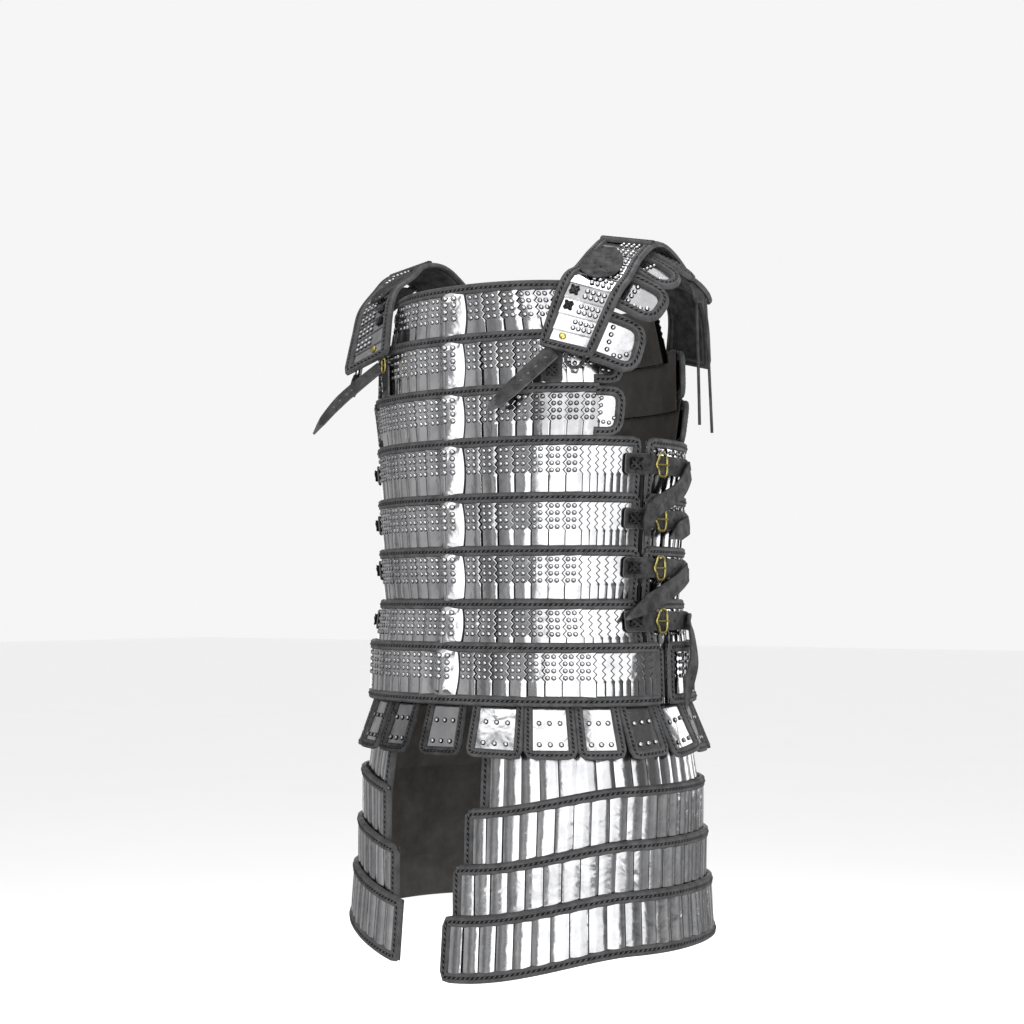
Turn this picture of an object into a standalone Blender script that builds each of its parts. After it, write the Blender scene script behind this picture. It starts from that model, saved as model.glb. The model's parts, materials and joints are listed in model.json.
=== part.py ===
"""Lamellar armour: a cuirass of laced steel rows, shoulder straps with D-shaped plates,
a comb of hip tabs and two tassets.

Metres, +Z up.  The front faces -Y and the wearer's left is +X.  The origin lies midway
between the undersides of the two shoulder straps, where the wearer's shoulders hold it.
"""

import math
from collections import namedtuple

import bmesh
import bpy
from mathutils import Vector

NAME = "lamellar_armour"

# Thicknesses and small sizes that every row shares.
PLATE = 0.003            # overlapping lamellae with their lacing
RIM = 0.007              # the leather binding along an edge
BINDING = 0.010          # height of that binding
LAP = 0.0058             # how far a row's foot lies inside the head of the row below
UNDER = 0.016            # how far it reaches down behind it
SQUARENESS = 2.2         # exponent of the torso's oval, 2 is an ellipse
FRONT_STATION = math.radians(9.0)
BACK_STATION = math.radians(8.625)
TASSET_STATION = math.radians(10.0)

# The cuirass from the top: height of each row's head, half-width and half-depth of its inner
# face there, and how many stations it reaches to each side of the front and back centre.
TorsoRow = namedtuple("TorsoRow", "head wide deep front_reach back_reach rounded")
TORSO = [
    TorsoRow(-0.070, 0.176, 0.160, 5, 5, False),
    TorsoRow(-0.134, 0.210, 0.162, 7, 7, True),
    TorsoRow(-0.202, 0.219, 0.163, 7, 7, True),
    TorsoRow(-0.268, 0.213, 0.163, 8, 12, False),
    TorsoRow(-0.339, 0.211, 0.163, 8, 12, False),
    TorsoRow(-0.406, 0.209, 0.162, 8, 12, False),
    TorsoRow(-0.473, 0.206, 0.161, 8, 12, False),
    TorsoRow(-0.527, 0.221, 0.171, 9, 11, False),
]
TORSO_HEM = TorsoRow(-0.603, 0.2235, 0.173, 0, 0, False)

# The tassets: height of each head at the wearer's side, how much lower its front corner
# hangs, the inner face there, and the angle of the left and the right front edge.
TassetRow = namedtuple("TassetRow", "head drop wide deep left_edge right_edge")
TASSET = [
    TassetRow(-0.630, 0.026, 0.214, 0.164, 9.0, -28.0),
    TassetRow(-0.704, 0.031, 0.234, 0.180, 5.0, -25.0),
    TassetRow(-0.770, 0.034, 0.237, 0.188, 2.5, -18.0),
    TassetRow(-0.831, 0.035, 0.241, 0.195, 0.5, -14.0),
]
TASSET_HEM = TassetRow(-0.905, 0.039, 0.245, 0.202, 0.0, 0.0)
TASSET_BACK_EDGE = 173.0     # degrees from the front, which leaves a slit behind
DROP_ENDS = 62.0             # degrees at which the front corner's drop has faded
RIGHT_LIFT = 0.008           # the right tasset hangs a little higher

# Hip tabs: the strip that they hang from, behind the hem, and the tabs below it.
TAB_PITCH = 18.0             # degrees
TAB_GAP = 0.5                # degrees between neighbours
TAB_FIRST = -84.0            # degrees, where the front comb starts
TAB_COUNTS = {"front": 9, "back": 11}
TAB_THICK = 0.004
TabLevel = namedtuple("TabLevel", "height wide deep")
TAB_LEVELS = [
    TabLevel(-0.667, 0.2400, 0.186),
    TabLevel(-0.606, 0.2180, 0.1680),
    TabLevel(-0.588, 0.2170, 0.1670),
]

# The shoulder straps from their front ends to their back ends: the neck side and the arm side
# of the inner face.  The right one sits a little further out than the left.
StrapSection = namedtuple("StrapSection", "neck arm")
STRAPS = {
    "left": [
        StrapSection((0.120, -0.157, -0.156), (0.192, -0.149, -0.176)),
        StrapSection((0.138, -0.134, -0.074), (0.207, -0.110, -0.097)),
        StrapSection((0.134, -0.096, -0.052), (0.209, -0.084, -0.071)),
        StrapSection((0.130, -0.053, -0.022), (0.202, -0.044, -0.038)),
        StrapSection((0.124, -0.009, 0.000), (0.199, -0.001, -0.014)),
        StrapSection((0.124, 0.030, -0.002), (0.199, 0.038, -0.017)),
        StrapSection((0.128, 0.075, -0.026), (0.203, 0.078, -0.044)),
        StrapSection((0.138, 0.134, -0.070), (0.207, 0.113, -0.090)),
        StrapSection((0.122, 0.160, -0.140), (0.194, 0.150, -0.158)),
    ],
    "right": [
        StrapSection((-0.120, -0.157, -0.148), (-0.199, -0.149, -0.170)),
        StrapSection((-0.128, -0.139, -0.089), (-0.210, -0.118, -0.114)),
        StrapSection((-0.142, -0.109, -0.055), (-0.221, -0.092, -0.076)),
        StrapSection((-0.153, -0.060, -0.029), (-0.230, -0.051, -0.043)),
        StrapSection((-0.160, -0.020, -0.006), (-0.235, -0.013, -0.017)),
        StrapSection((-0.160, 0.026, -0.003), (-0.234, 0.031, -0.015)),
        StrapSection((-0.156, 0.070, -0.025), (-0.229, 0.073, -0.041)),
        StrapSection((-0.146, 0.132, -0.070), (-0.215, 0.113, -0.091)),
        StrapSection((-0.122, 0.160, -0.140), (-0.196, 0.151, -0.160)),
    ],
}
STRAP_THICK = 0.005

# D-shaped plates under each strap's outer edge: how far along the strap's sections the
# straight side's middle lies, the way the plate reaches (for the left side), and its sizes.
ShoulderPlate = namedtuple("ShoulderPlate", "station reach_way reach side")
SHOULDER_PLATES = [
    ShoulderPlate(0.42, (0.62, 0.70, -0.32), 0.062, 0.068),
    ShoulderPlate(1.75, (0.80, 0.40, -0.50), 0.062, 0.062),
    ShoulderPlate(3.20, (0.82, 0.10, -0.57), 0.062, 0.053),
    ShoulderPlate(4.56, (0.82, 0.06, -0.57), 0.062, 0.046),
    ShoulderPlate(5.78, (0.82, 0.02, -0.57), 0.062, 0.046),
]
SHOULDER_PLATE_THICK = 0.004
SHOULDER_PLATE_TUCK = 0.010          # how far the straight side lies under the strap
SHOULDER_PLATE_SINK = 0.0078         # and how far below its inner face

# Loose tongue of each shoulder strap, from under the strap's end to its tip:
# the middle of each section and its width, with the wearer's left first.
TongueSection = namedtuple("TongueSection", "place width")
SHOULDER_TONGUES = {
    "left": [
        TongueSection((0.138, -0.1515, -0.1645), 0.0225),
        TongueSection((0.116, -0.1640, -0.1850), 0.0225),
        TongueSection((0.093, -0.1740, -0.2070), 0.0215),
        TongueSection((0.073, -0.1800, -0.2245), 0.0170),
        TongueSection((0.059, -0.1830, -0.236), 0.003),
    ],
    "right": [
        TongueSection((-0.138, -0.1520, -0.163), 0.016),
        TongueSection((-0.174, -0.1560, -0.186), 0.017),
        TongueSection((-0.208, -0.1540, -0.206), 0.017),
        TongueSection((-0.240, -0.1490, -0.228), 0.013),
        TongueSection((-0.262, -0.1430, -0.245), 0.003),
    ],
}
TONGUE_THICK = 0.0025
SHOULDER_BUCKLES = {"left": (0.164, -0.144, -0.178), "right": (-0.126, -0.163, -0.172)}

# Side straps, one at each of rows 4 to 7: height, and the loose end's course forward from
# its turn, as angles from the front centre and how far each point hangs below the strap.
SideStrap = namedtuple("SideStrap", "height left_end right_end")
SIDE_STRAPS = [
    SideStrap(-0.301, ((91, 0.032), (75, 0.060), (72, 0.098)), ((92, 0.012), (86, 0.020))),
    SideStrap(-0.370, ((92, 0.014), (86, 0.024)), ((92, 0.012), (87, 0.022))),
    SideStrap(-0.432, ((90, 0.022), (74, 0.045), (62, 0.065)), ((92, 0.010), (84, 0.016))),
    SideStrap(-0.499, ((94, 0.048), (90, 0.080), (88, 0.112)), ((92, 0.012), (86, 0.022))),
]
SIDE_STRAP_WIDTH = 0.024
SIDE_STRAP_THICK = 0.0028
SIDE_STRAP_OUT = 0.0100              # the strap's middle outside its row's inner face
LOOSE_END_OUT = 0.0205               # and its loose end's
TIP_WIDTH = 0.003
SIDE_STRAP_ENDS = (65.0, 101.0)      # degrees from the front centre
SIDE_BUCKLE_ANGLE = 82.0
BUCKLE_WIDTH = 0.020
BUCKLE_HEIGHT = 0.030
BUCKLE_WIRE = 0.0016
BUCKLE_CLEARANCE = 0.0010            # over the strap, which curves under the flat frame

# Two laces that hang from under the left shoulder plates.
LACE_THICK = 0.004
LACES = {
    "lace_1": [(0.2370, 0.0360, -0.0800), (0.2400, 0.0350, -0.1600), (0.2420, 0.0340, -0.2460)],
    "lace_2": [(0.2440, 0.0480, -0.0800), (0.2490, 0.0475, -0.1650), (0.2530, 0.0470, -0.2560)],
}

Finish = namedtuple("Finish", "colour roughness metallic")
FINISHES = {
    "steel": Finish((0.62, 0.62, 0.63), 0.25, 1.0),
    "leather": Finish((0.030, 0.030, 0.032), 0.62, 0.0),
    "brass": Finish((0.62, 0.50, 0.17), 0.30, 1.0),
}


def clear_scene():
    for thing in list(bpy.data.objects):
        bpy.data.objects.remove(thing, do_unlink=True)


def finish_of(kind, node):
    """Each node has its own material, in one of the armour's three finishes."""
    finish = FINISHES[kind]
    material = bpy.data.materials.new(f"{node}_{kind}")
    material.use_nodes = True
    shader = material.node_tree.nodes["Principled BSDF"]
    shader.inputs["Base Color"].default_value = (*finish.colour, 1.0)
    shader.inputs["Roughness"].default_value = finish.roughness
    shader.inputs["Metallic"].default_value = finish.metallic
    return material


def add_object(name, data, kind, collection):
    thing = bpy.data.objects.new(name, data)
    thing.data.materials.append(finish_of(kind, name))
    collection.objects.link(thing)
    return thing


def loft(name, rings, kind, collection):
    """A closed solid through rings of equally many points, with a flat cap at each end."""
    form = bmesh.new()
    loops = [[form.verts.new(point) for point in ring] for ring in rings]
    count = len(loops[0])
    for near, far in zip(loops, loops[1:]):
        for i in range(count):
            j = (i + 1) % count
            form.faces.new((near[i], near[j], far[j], far[i]))
    form.faces.new(list(reversed(loops[0])))
    form.faces.new(loops[-1])
    bmesh.ops.recalc_face_normals(form, faces=form.faces)
    mesh = bpy.data.meshes.new(name)
    form.to_mesh(mesh)
    form.free()
    return add_object(name, mesh, kind, collection)


def oval(wide, deep, angle, height):
    """A point of the torso's oval; angle 0 is the front centre, 90 degrees the left side."""
    power = 2.0 / SQUARENESS
    across, ahead = math.sin(angle), math.cos(angle)
    x = wide * math.copysign(abs(across) ** power, across)
    y = -deep * math.copysign(abs(ahead) ** power, ahead)
    return Vector((x, y, height))


def wall_point(upper, lower, angle, outward, height):
    """A point of the wall between two ovals, each given as height, half-width, half-depth."""
    share = (upper[0] - height) / (upper[0] - lower[0])
    wide = upper[1] + (lower[1] - upper[1]) * share + outward
    deep = upper[2] + (lower[2] - upper[2]) * share + outward
    return oval(wide, deep, angle, height)


def row_ring(upper, lower, angle, trim, has_hem):
    """A row's section at one angle: lamellae under a bound head, and a bound hem if it shows."""
    head = upper[0] - trim
    foot = lower[0] + trim
    profile = [(0.0, foot), (0.0, head), (RIM, head), (RIM, head - BINDING),
               (PLATE, head - BINDING - 0.001)]
    if has_hem:
        profile += [(PLATE, foot + BINDING + 0.001), (RIM, foot + BINDING), (RIM, foot)]
    else:
        profile += [(PLATE, foot)]
    return [wall_point(upper, lower, angle, outward, height) for outward, height in profile]


def foot_of(row, below, drop=0.0):
    """Where a row ends: behind the head of the row below it."""
    return (below.head - UNDER - drop, below.wide - LAP, below.deep - LAP)


def row_span(index):
    """A torso row's head and foot, each as height, half-width and half-depth."""
    row = TORSO[index]
    if index == len(TORSO) - 1:
        return (row.head, row.wide, row.deep), (TORSO_HEM.head, TORSO_HEM.wide, TORSO_HEM.deep)
    return (row.head, row.wide, row.deep), foot_of(row, TORSO[index + 1])


def torso_size(height):
    """Half-width and half-depth of the outermost row's inner face at a height."""
    height = max(height, TORSO_HEM.head)
    sizes = []
    for index in range(len(TORSO)):
        upper, lower = row_span(index)
        if lower[0] <= height <= upper[0]:
            share = (upper[0] - height) / (upper[0] - lower[0])
            sizes.append([u + (l - u) * share for u, l in zip(upper[1:], lower[1:])])
    return max(sizes)


def torso_rows(collection):
    """Eight rows in front and eight behind, each outside the foot of the one above."""
    for index, row in enumerate(TORSO):
        last = index == len(TORSO) - 1
        upper, lower = row_span(index)
        sides = (("front", FRONT_STATION, row.front_reach, 0.0),
                 ("back", BACK_STATION, row.back_reach, math.pi))
        for side, station, reach, centre in sides:
            rings = []
            for step in range(-reach, reach + 1):
                left = reach - abs(step)
                trim = (0.016, 0.005)[left] if row.rounded and left < 2 else 0.0
                rings.append(row_ring(upper, lower, centre + step * station, trim, last))
            loft(f"{side}_row_{index + 1}", rings, "steel", collection)


def corner_drop(angle):
    """1 at the front centre, fading smoothly to 0 towards the wearer's side."""
    share = min(1.0, abs(angle) / math.radians(DROP_ENDS))
    return 1.0 - share * share * (3.0 - 2.0 * share)


def tassets(collection):
    """Two skirts of four rows each, open in front and slit behind."""
    for side, sign in (("left", 1), ("right", -1)):
        lift = RIGHT_LIFT if side == "right" else 0.0
        for index, row in enumerate(TASSET):
            last = index == len(TASSET) - 1
            below = TASSET_HEM if last else TASSET[index + 1]
            edge = math.radians(row.left_edge if side == "left" else -row.right_edge)
            back = math.radians(TASSET_BACK_EDGE)
            steps = round((back - edge) / TASSET_STATION)
            rings = []
            for step in range(steps + 1):
                angle = edge + (back - edge) * step / steps
                fall = corner_drop(angle)
                upper = (row.head + lift - row.drop * fall, row.wide, row.deep)
                drop = below.drop * fall - lift
                if last:
                    lower = (below.head - drop, below.wide, below.deep)
                else:
                    lower = foot_of(row, below, drop)
                rings.append(row_ring(upper, lower, sign * angle, 0.0, last))
            loft(f"tasset_{side}_row_{index + 1}", rings, "steel", collection)


def hip_tabs(collection):
    """Two combs: a strip behind the hem with separate tabs flaring out below it."""
    start = TAB_FIRST
    for side, count in TAB_COUNTS.items():
        edges = []
        for tab in range(count):
            near = start + tab * TAB_PITCH + TAB_GAP / 2
            far = near + TAB_PITCH - TAB_GAP
            edges += [near, (near + far) / 2, far]
        form = bmesh.new()
        bmesh.ops.create_grid(form, x_segments=len(edges) - 1, y_segments=2, size=1.0)
        columns = len(edges) - 1
        gaps = []
        for face in form.faces:
            middle = face.calc_center_median()
            column = int((middle.x + 1) / 2 * columns)
            if column % 3 == 2 and middle.y < 0:
                gaps.append(face)
        for vert in form.verts:
            column = round((vert.co.x + 1) / 2 * columns)
            level = TAB_LEVELS[round(vert.co.y) + 1]
            vert.co = oval(level.wide, level.deep, math.radians(edges[column]), level.height)
        bmesh.ops.delete(form, geom=gaps, context="FACES")
        mesh = bpy.data.meshes.new(f"hip_tabs_{side}")
        form.to_mesh(mesh)
        form.free()
        comb = add_object(f"hip_tabs_{side}", mesh, "steel", collection)
        wall = comb.modifiers.new("Solidify", "SOLIDIFY")
        wall.thickness = TAB_THICK
        wall.offset = 1.0
        start += count * TAB_PITCH


def strap_frames(side):
    """At each section of a shoulder strap: neck side, arm side and the way out of its face."""
    sections = STRAPS[side]
    sign = 1 if side == "left" else -1
    frames = []
    for index, section in enumerate(sections):
        before = sections[max(index - 1, 0)]
        after = sections[min(index + 1, len(sections) - 1)]
        neck, arm = Vector(section.neck), Vector(section.arm)
        along = (Vector(after.neck) + Vector(after.arm)
                 - Vector(before.neck) - Vector(before.arm))
        frames.append((neck, arm, (arm - neck).cross(along).normalized() * sign))
    return frames


def shoulder_straps(collection):
    """A band of lamellae over each shoulder, from the chest to the shoulder blades."""
    for side in STRAPS:
        rings = [[neck, arm, arm + out * STRAP_THICK, neck + out * STRAP_THICK]
                 for neck, arm, out in strap_frames(side)]
        loft(f"shoulder_strap_{side}", rings, "steel", collection)


def shoulder_plates(collection):
    """D-shaped plates that hang from under each strap's outer edge."""
    rim = [(0.0, -0.5), (0.45, -0.5), (0.80, -0.38), (0.97, -0.14),
           (0.97, 0.14), (0.80, 0.38), (0.45, 0.5), (0.0, 0.5)]
    for side, sign in (("left", 1), ("right", -1)):
        frames = strap_frames(side)
        for number, plate in enumerate(SHOULDER_PLATES, start=1):
            near = int(plate.station)
            share = plate.station - near
            neck, arm, out = (a.lerp(b, share) for a, b in zip(frames[near], frames[near + 1]))
            inward = (neck - arm).normalized()
            root = arm + inward * SHOULDER_PLATE_TUCK - out.normalized() * SHOULDER_PLATE_SINK
            reach_way = Vector((sign * plate.reach_way[0], *plate.reach_way[1:])).normalized()
            side_way = frames[near + 1][1] - frames[near][1]
            side_way = (side_way - reach_way * side_way.dot(reach_way)).normalized()
            inner_way = side_way.cross(reach_way) * sign
            ring = [root + reach_way * plate.reach * ahead + side_way * plate.side * across
                    for ahead, across in rim]
            back = [point + inner_way * SHOULDER_PLATE_THICK for point in ring]
            loft(f"shoulder_plate_{side}_{number}", [ring, back], "steel", collection)


def leather_band(name, middles, widths, normals, thick, collection):
    """A flat strap through its middle points, lying square to the normals given there."""
    rings = []
    across = None
    for index, middle in enumerate(middles):
        before = middles[max(index - 1, 0)]
        after = middles[min(index + 1, len(middles) - 1)]
        along = (after - before).normalized()
        way = normals[index].cross(along)
        # Where the strap folds back on itself, it keeps the width's direction it came with.
        if across is None or way.length > 0.5:
            turned = across is not None and way.dot(across) < 0
            across = (-way if turned else way).normalized()
        half = across * widths[index] / 2
        out = across.cross(along).normalized() * thick / 2
        rings.append([middle - half - out, middle + half - out,
                      middle + half + out, middle - half + out])
    return loft(name, rings, "leather", collection)


def shoulder_tongues(collection):
    for side, sections in SHOULDER_TONGUES.items():
        middles = [Vector(section.place) for section in sections]
        widths = [section.width for section in sections]
        normals = [Vector((0, -1, 0))] * len(sections)
        leather_band(f"shoulder_tongue_{side}", middles, widths, normals, TONGUE_THICK, collection)


def side_straps(collection):
    """Each strap runs from the front rows back to the buckle and turns forward, hanging loose."""
    near, far = SIDE_STRAP_ENDS
    for number, strap in enumerate(SIDE_STRAPS, start=1):
        for side, sign in (("left", 1), ("right", -1)):
            path = [(near + step, 0.0, SIDE_STRAP_OUT) for step in (0, 9, 18, 27)]
            path += [(far, 0.0, SIDE_STRAP_OUT + 0.0005), (far + 2.0, 0.003, LOOSE_END_OUT - 0.007),
                     (far, 0.006, LOOSE_END_OUT - 0.003)]
            loose_end = strap.left_end if side == "left" else strap.right_end
            path += [(degrees, drop, LOOSE_END_OUT) for degrees, drop in loose_end]
            middles, normals = [], []
            for degrees, drop, outward in path:
                angle = math.radians(degrees)
                wide, deep = (size + outward for size in torso_size(strap.height - drop))
                place = oval(wide, deep, angle, strap.height - drop)
                ahead = oval(wide, deep, angle + 0.02, place.z)
                normal = (ahead - place).cross(Vector((0, 0, 1))).normalized()
                middles.append(Vector((sign * place.x, place.y, place.z)))
                normals.append(Vector((sign * normal.x, normal.y, normal.z)))
            widths = [SIDE_STRAP_WIDTH] * (len(path) - 1) + [TIP_WIDTH]
            leather_band(f"side_strap_{side}_{number}", middles, widths, normals,
                         SIDE_STRAP_THICK, collection)


def buckle(name, middle, outward, upward, collection, finish="brass"):
    """A rounded frame of brass wire, or a ring wound in leather."""
    outward = outward.normalized()
    upward = (upward - outward * upward.dot(outward)).normalized()
    across = upward.cross(outward)
    corner = 0.35
    shape = [(1, corner), (1 - corner, 1), (corner - 1, 1), (-1, corner),
             (-1, -corner), (corner - 1, -1), (1 - corner, -1), (1, -corner)]
    curve = bpy.data.curves.new(name, "CURVE")
    curve.dimensions = "3D"
    curve.bevel_depth = BUCKLE_WIRE
    curve.bevel_resolution = 1
    spline = curve.splines.new("POLY")
    spline.points.add(len(shape) - 1)
    spline.use_cyclic_u = True
    for point, (right, up) in zip(spline.points, shape):
        place = middle + across * right * BUCKLE_WIDTH / 2 + upward * up * BUCKLE_HEIGHT / 2
        point.co = (*place, 1.0)
    return add_object(name, curve, finish, collection)


def buckles(collection):
    for number, strap in enumerate(SIDE_STRAPS, start=1):
        outward = SIDE_STRAP_OUT + SIDE_STRAP_THICK / 2 + BUCKLE_WIRE + BUCKLE_CLEARANCE
        wide, deep = (size + outward for size in torso_size(strap.height))
        angle = math.radians(SIDE_BUCKLE_ANGLE)
        place = oval(wide, deep, angle, strap.height)
        ahead = oval(wide, deep, angle - 0.05, strap.height)
        for side, sign in (("left", 1), ("right", -1)):
            flip = Vector((sign, 1, 1))
            tangent = (place - ahead) * flip
            normal = tangent.cross(Vector((0, 0, 1))) * sign
            buckle(f"side_buckle_{side}_{number}", place * flip, normal, Vector((0, 0, 1)),
                   collection)
    for side, place in SHOULDER_BUCKLES.items():
        middle = Vector(place)
        outward = Vector((middle.x * 0.7, middle.y, 0.0))
        buckle(f"shoulder_buckle_{side}", middle, outward, Vector((0, 0, 1)), collection,
               "leather" if side == "left" else "brass")


def laces(collection):
    for name, points in LACES.items():
        curve = bpy.data.curves.new(name, "CURVE")
        curve.dimensions = "3D"
        curve.bevel_depth = LACE_THICK / 2
        curve.bevel_resolution = 2
        curve.use_fill_caps = True
        spline = curve.splines.new("POLY")
        top, middle, end = (Vector(point) for point in points)
        count = 20
        spline.points.add(count)
        for index, point in enumerate(spline.points):
            share = index / count
            place = (top * (1 - share) ** 2 + middle * 2 * share * (1 - share)
                     + end * share ** 2)
            point.co = (*place, 1.0)
        add_object(name, curve, "leather", collection)


def build():
    clear_scene()
    collection = bpy.data.collections.new(NAME)
    bpy.context.scene.collection.children.link(collection)
    torso_rows(collection)
    tassets(collection)
    hip_tabs(collection)
    shoulder_straps(collection)
    shoulder_plates(collection)
    shoulder_tongues(collection)
    side_straps(collection)
    buckles(collection)
    laces(collection)


build()
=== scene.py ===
import json
import math
import random

import bmesh
import bpy
import numpy as np
from mathutils import Matrix, Vector

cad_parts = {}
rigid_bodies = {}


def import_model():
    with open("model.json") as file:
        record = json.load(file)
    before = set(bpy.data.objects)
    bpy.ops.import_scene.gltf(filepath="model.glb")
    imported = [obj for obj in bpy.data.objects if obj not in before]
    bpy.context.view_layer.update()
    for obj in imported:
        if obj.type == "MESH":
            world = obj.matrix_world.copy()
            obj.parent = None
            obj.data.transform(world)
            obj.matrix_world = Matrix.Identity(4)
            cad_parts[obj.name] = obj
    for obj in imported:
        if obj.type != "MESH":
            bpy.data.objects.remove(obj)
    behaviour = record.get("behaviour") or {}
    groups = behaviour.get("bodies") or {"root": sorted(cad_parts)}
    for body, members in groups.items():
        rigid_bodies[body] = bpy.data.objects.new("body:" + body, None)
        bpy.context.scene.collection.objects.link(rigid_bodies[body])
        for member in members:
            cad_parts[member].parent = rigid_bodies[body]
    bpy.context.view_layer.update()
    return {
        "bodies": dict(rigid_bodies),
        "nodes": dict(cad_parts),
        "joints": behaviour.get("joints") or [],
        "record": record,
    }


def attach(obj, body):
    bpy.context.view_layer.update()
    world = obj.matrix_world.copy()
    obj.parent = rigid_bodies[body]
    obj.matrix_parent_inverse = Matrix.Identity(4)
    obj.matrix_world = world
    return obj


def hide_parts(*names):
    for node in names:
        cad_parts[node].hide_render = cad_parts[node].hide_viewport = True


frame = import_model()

random.seed(11)

# All sizes are metres. The wearer faces -Y and the wearer's left is +X.

# Working with pieces


def selectOnly(*pieces):
    bpy.ops.object.select_all(action="DESELECT")
    for piece in pieces:
        piece.select_set(True)
    if pieces:
        bpy.context.view_layer.objects.active = pieces[0]


def edit(piece):
    # edit mode, with all of the piece selected
    selectOnly(piece)
    bpy.ops.object.mode_set(mode="EDIT")
    bpy.ops.mesh.select_all(action="SELECT")


def leave():
    # back to object mode
    bpy.ops.object.mode_set(mode="OBJECT")


def pick(piece, test, rim=False):
    # selects the points that pass the test, or the open edges whose two ends pass it
    bpy.ops.mesh.select_mode(type="EDGE" if rim else "VERT")
    bpy.ops.mesh.select_all(action="DESELECT")
    form = bmesh.from_edit_mesh(piece.data)
    if rim:
        for edge in form.edges:
            edge.select = edge.is_boundary and all(test(vert.co) for vert in edge.verts)
    else:
        for vert in form.verts:
            vert.select = bool(test(vert.co))
    form.select_flush_mode()
    bmesh.update_edit_mesh(piece.data)


def extrude(*step):
    bpy.ops.mesh.extrude_region_move(TRANSFORM_OT_translate={"value": step})


def modified(piece, kind, **settings):
    # adds a modifier and applies it
    selectOnly(piece)
    change = piece.modifiers.new("change", kind)
    for key, value in settings.items():
        setattr(change, key, value)
    bpy.ops.object.modifier_apply(modifier="change")


def thicken(piece, thick, offset=-1.0):
    modified(piece, "SOLIDIFY", thickness=thick, offset=offset)


def softenEdges(piece, width, segments=1, limit=50):
    modified(piece, "BEVEL", width=width, segments=segments, angle_limit=math.radians(limit))


def facesOut(piece):
    edit(piece)
    bpy.ops.mesh.normals_make_consistent(inside=False)
    leave()
    return piece


def flipFaces(piece):
    edit(piece)
    bpy.ops.mesh.flip_normals()
    leave()


def justMade(name, size=(1, 1, 1)):
    piece = bpy.context.object
    piece.name = name
    piece.scale = size
    bpy.ops.object.transform_apply(location=True, rotation=True, scale=True)
    return piece


def copied(master, place=(0, 0, 0), turn=(0, 0, 0), size=(1, 1, 1)):
    twin = master.copy()
    twin.data = master.data.copy()
    tilt, roll, spin = (Matrix.Rotation(angle, 3, axis) for angle, axis in zip(turn, "XYZ"))
    twin.matrix_world = Matrix.LocRotScale(Vector(place), spin @ roll @ tilt, Vector(size))
    bpy.context.scene.collection.objects.link(twin)
    return twin


def joined(name, parts):
    selectOnly(*parts)
    if len(parts) > 1:
        bpy.ops.object.join()
    bpy.ops.object.transform_apply(location=True, rotation=True, scale=True)
    piece = bpy.context.object
    piece.name = name
    return piece


def mirrored(piece):
    # turns a piece into its mirror image across x = 0
    selectOnly(piece)
    piece.scale.x = -1
    bpy.ops.object.transform_apply(scale=True)
    return facesOut(piece)


def reshape(piece, move):
    # moves every point at once: move takes all x, y and z and gives the new ones
    points = np.empty(len(piece.data.vertices) * 3, np.float64)
    piece.data.vertices.foreach_get("co", points)
    points = np.stack(move(*points.reshape(-1, 3).T), axis=1)
    piece.data.vertices.foreach_set("co", points.ravel())
    piece.data.update()


def discard(*pieces):
    for piece in pieces:
        bpy.data.objects.remove(piece, do_unlink=True)


# the wear attribute: real paleness and tone, and below 0 painted shade and painted shadow
def wearAndShadeOf(piece):
    data = piece.data
    return (data.attributes.get("wearAndShade") or data.attributes.new("wearAndShade", "FLOAT", "FACE")).data


def tinted(piece, wearAndShade, test=lambda face: True):
    # how pale and worn, or below 0 how dark, some faces of a piece are; the dark values are partly painted
    # shade and painted shadow
    layer = wearAndShadeOf(piece)
    for face in piece.data.polygons:
        if test(face):
            layer[face.index].value = wearAndShade
    return piece


def shiftedToneAndShade(piece, amount):
    # darkens or brightens the whole piece a little, for a random tone or for painted shade
    layer = wearAndShadeOf(piece)
    values = np.empty(len(piece.data.polygons), np.float32)
    layer.foreach_get("value", values)
    layer.foreach_set("value", values + amount)
    return piece


def pushEdge(piece, step, wearAndShade):
    # draws a strip out of the selected edges and gives its faces their wear, or with a value below 0 painted
    # shadow
    extrude(*step)
    form = bmesh.from_edit_mesh(piece.data)
    layer = form.faces.layers.float.get("wearAndShade") or form.faces.layers.float.new("wearAndShade")
    for edge in form.edges:
        if edge.select:
            for face in edge.link_faces:
                face[layer] = wearAndShade
    bmesh.update_edit_mesh(piece.data)


selectOnly()

# Camera, floor and lights

camera = {"side": 34.0, "away": 2.40, "eye": -0.471, "tilt": 2.8, "turn": 0.58, "lens": 62.44}

side = math.radians(camera["side"])
bpy.ops.object.camera_add(
    location=(camera["away"] * math.sin(side), -camera["away"] * math.cos(side), camera["eye"]),
    rotation=(math.radians(90 + camera["tilt"]), 0, side + math.radians(camera["turn"])),
)
view = bpy.context.object
view.data.lens = camera["lens"]
view.data.sensor_width = 36
bpy.context.scene.camera = view

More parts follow.
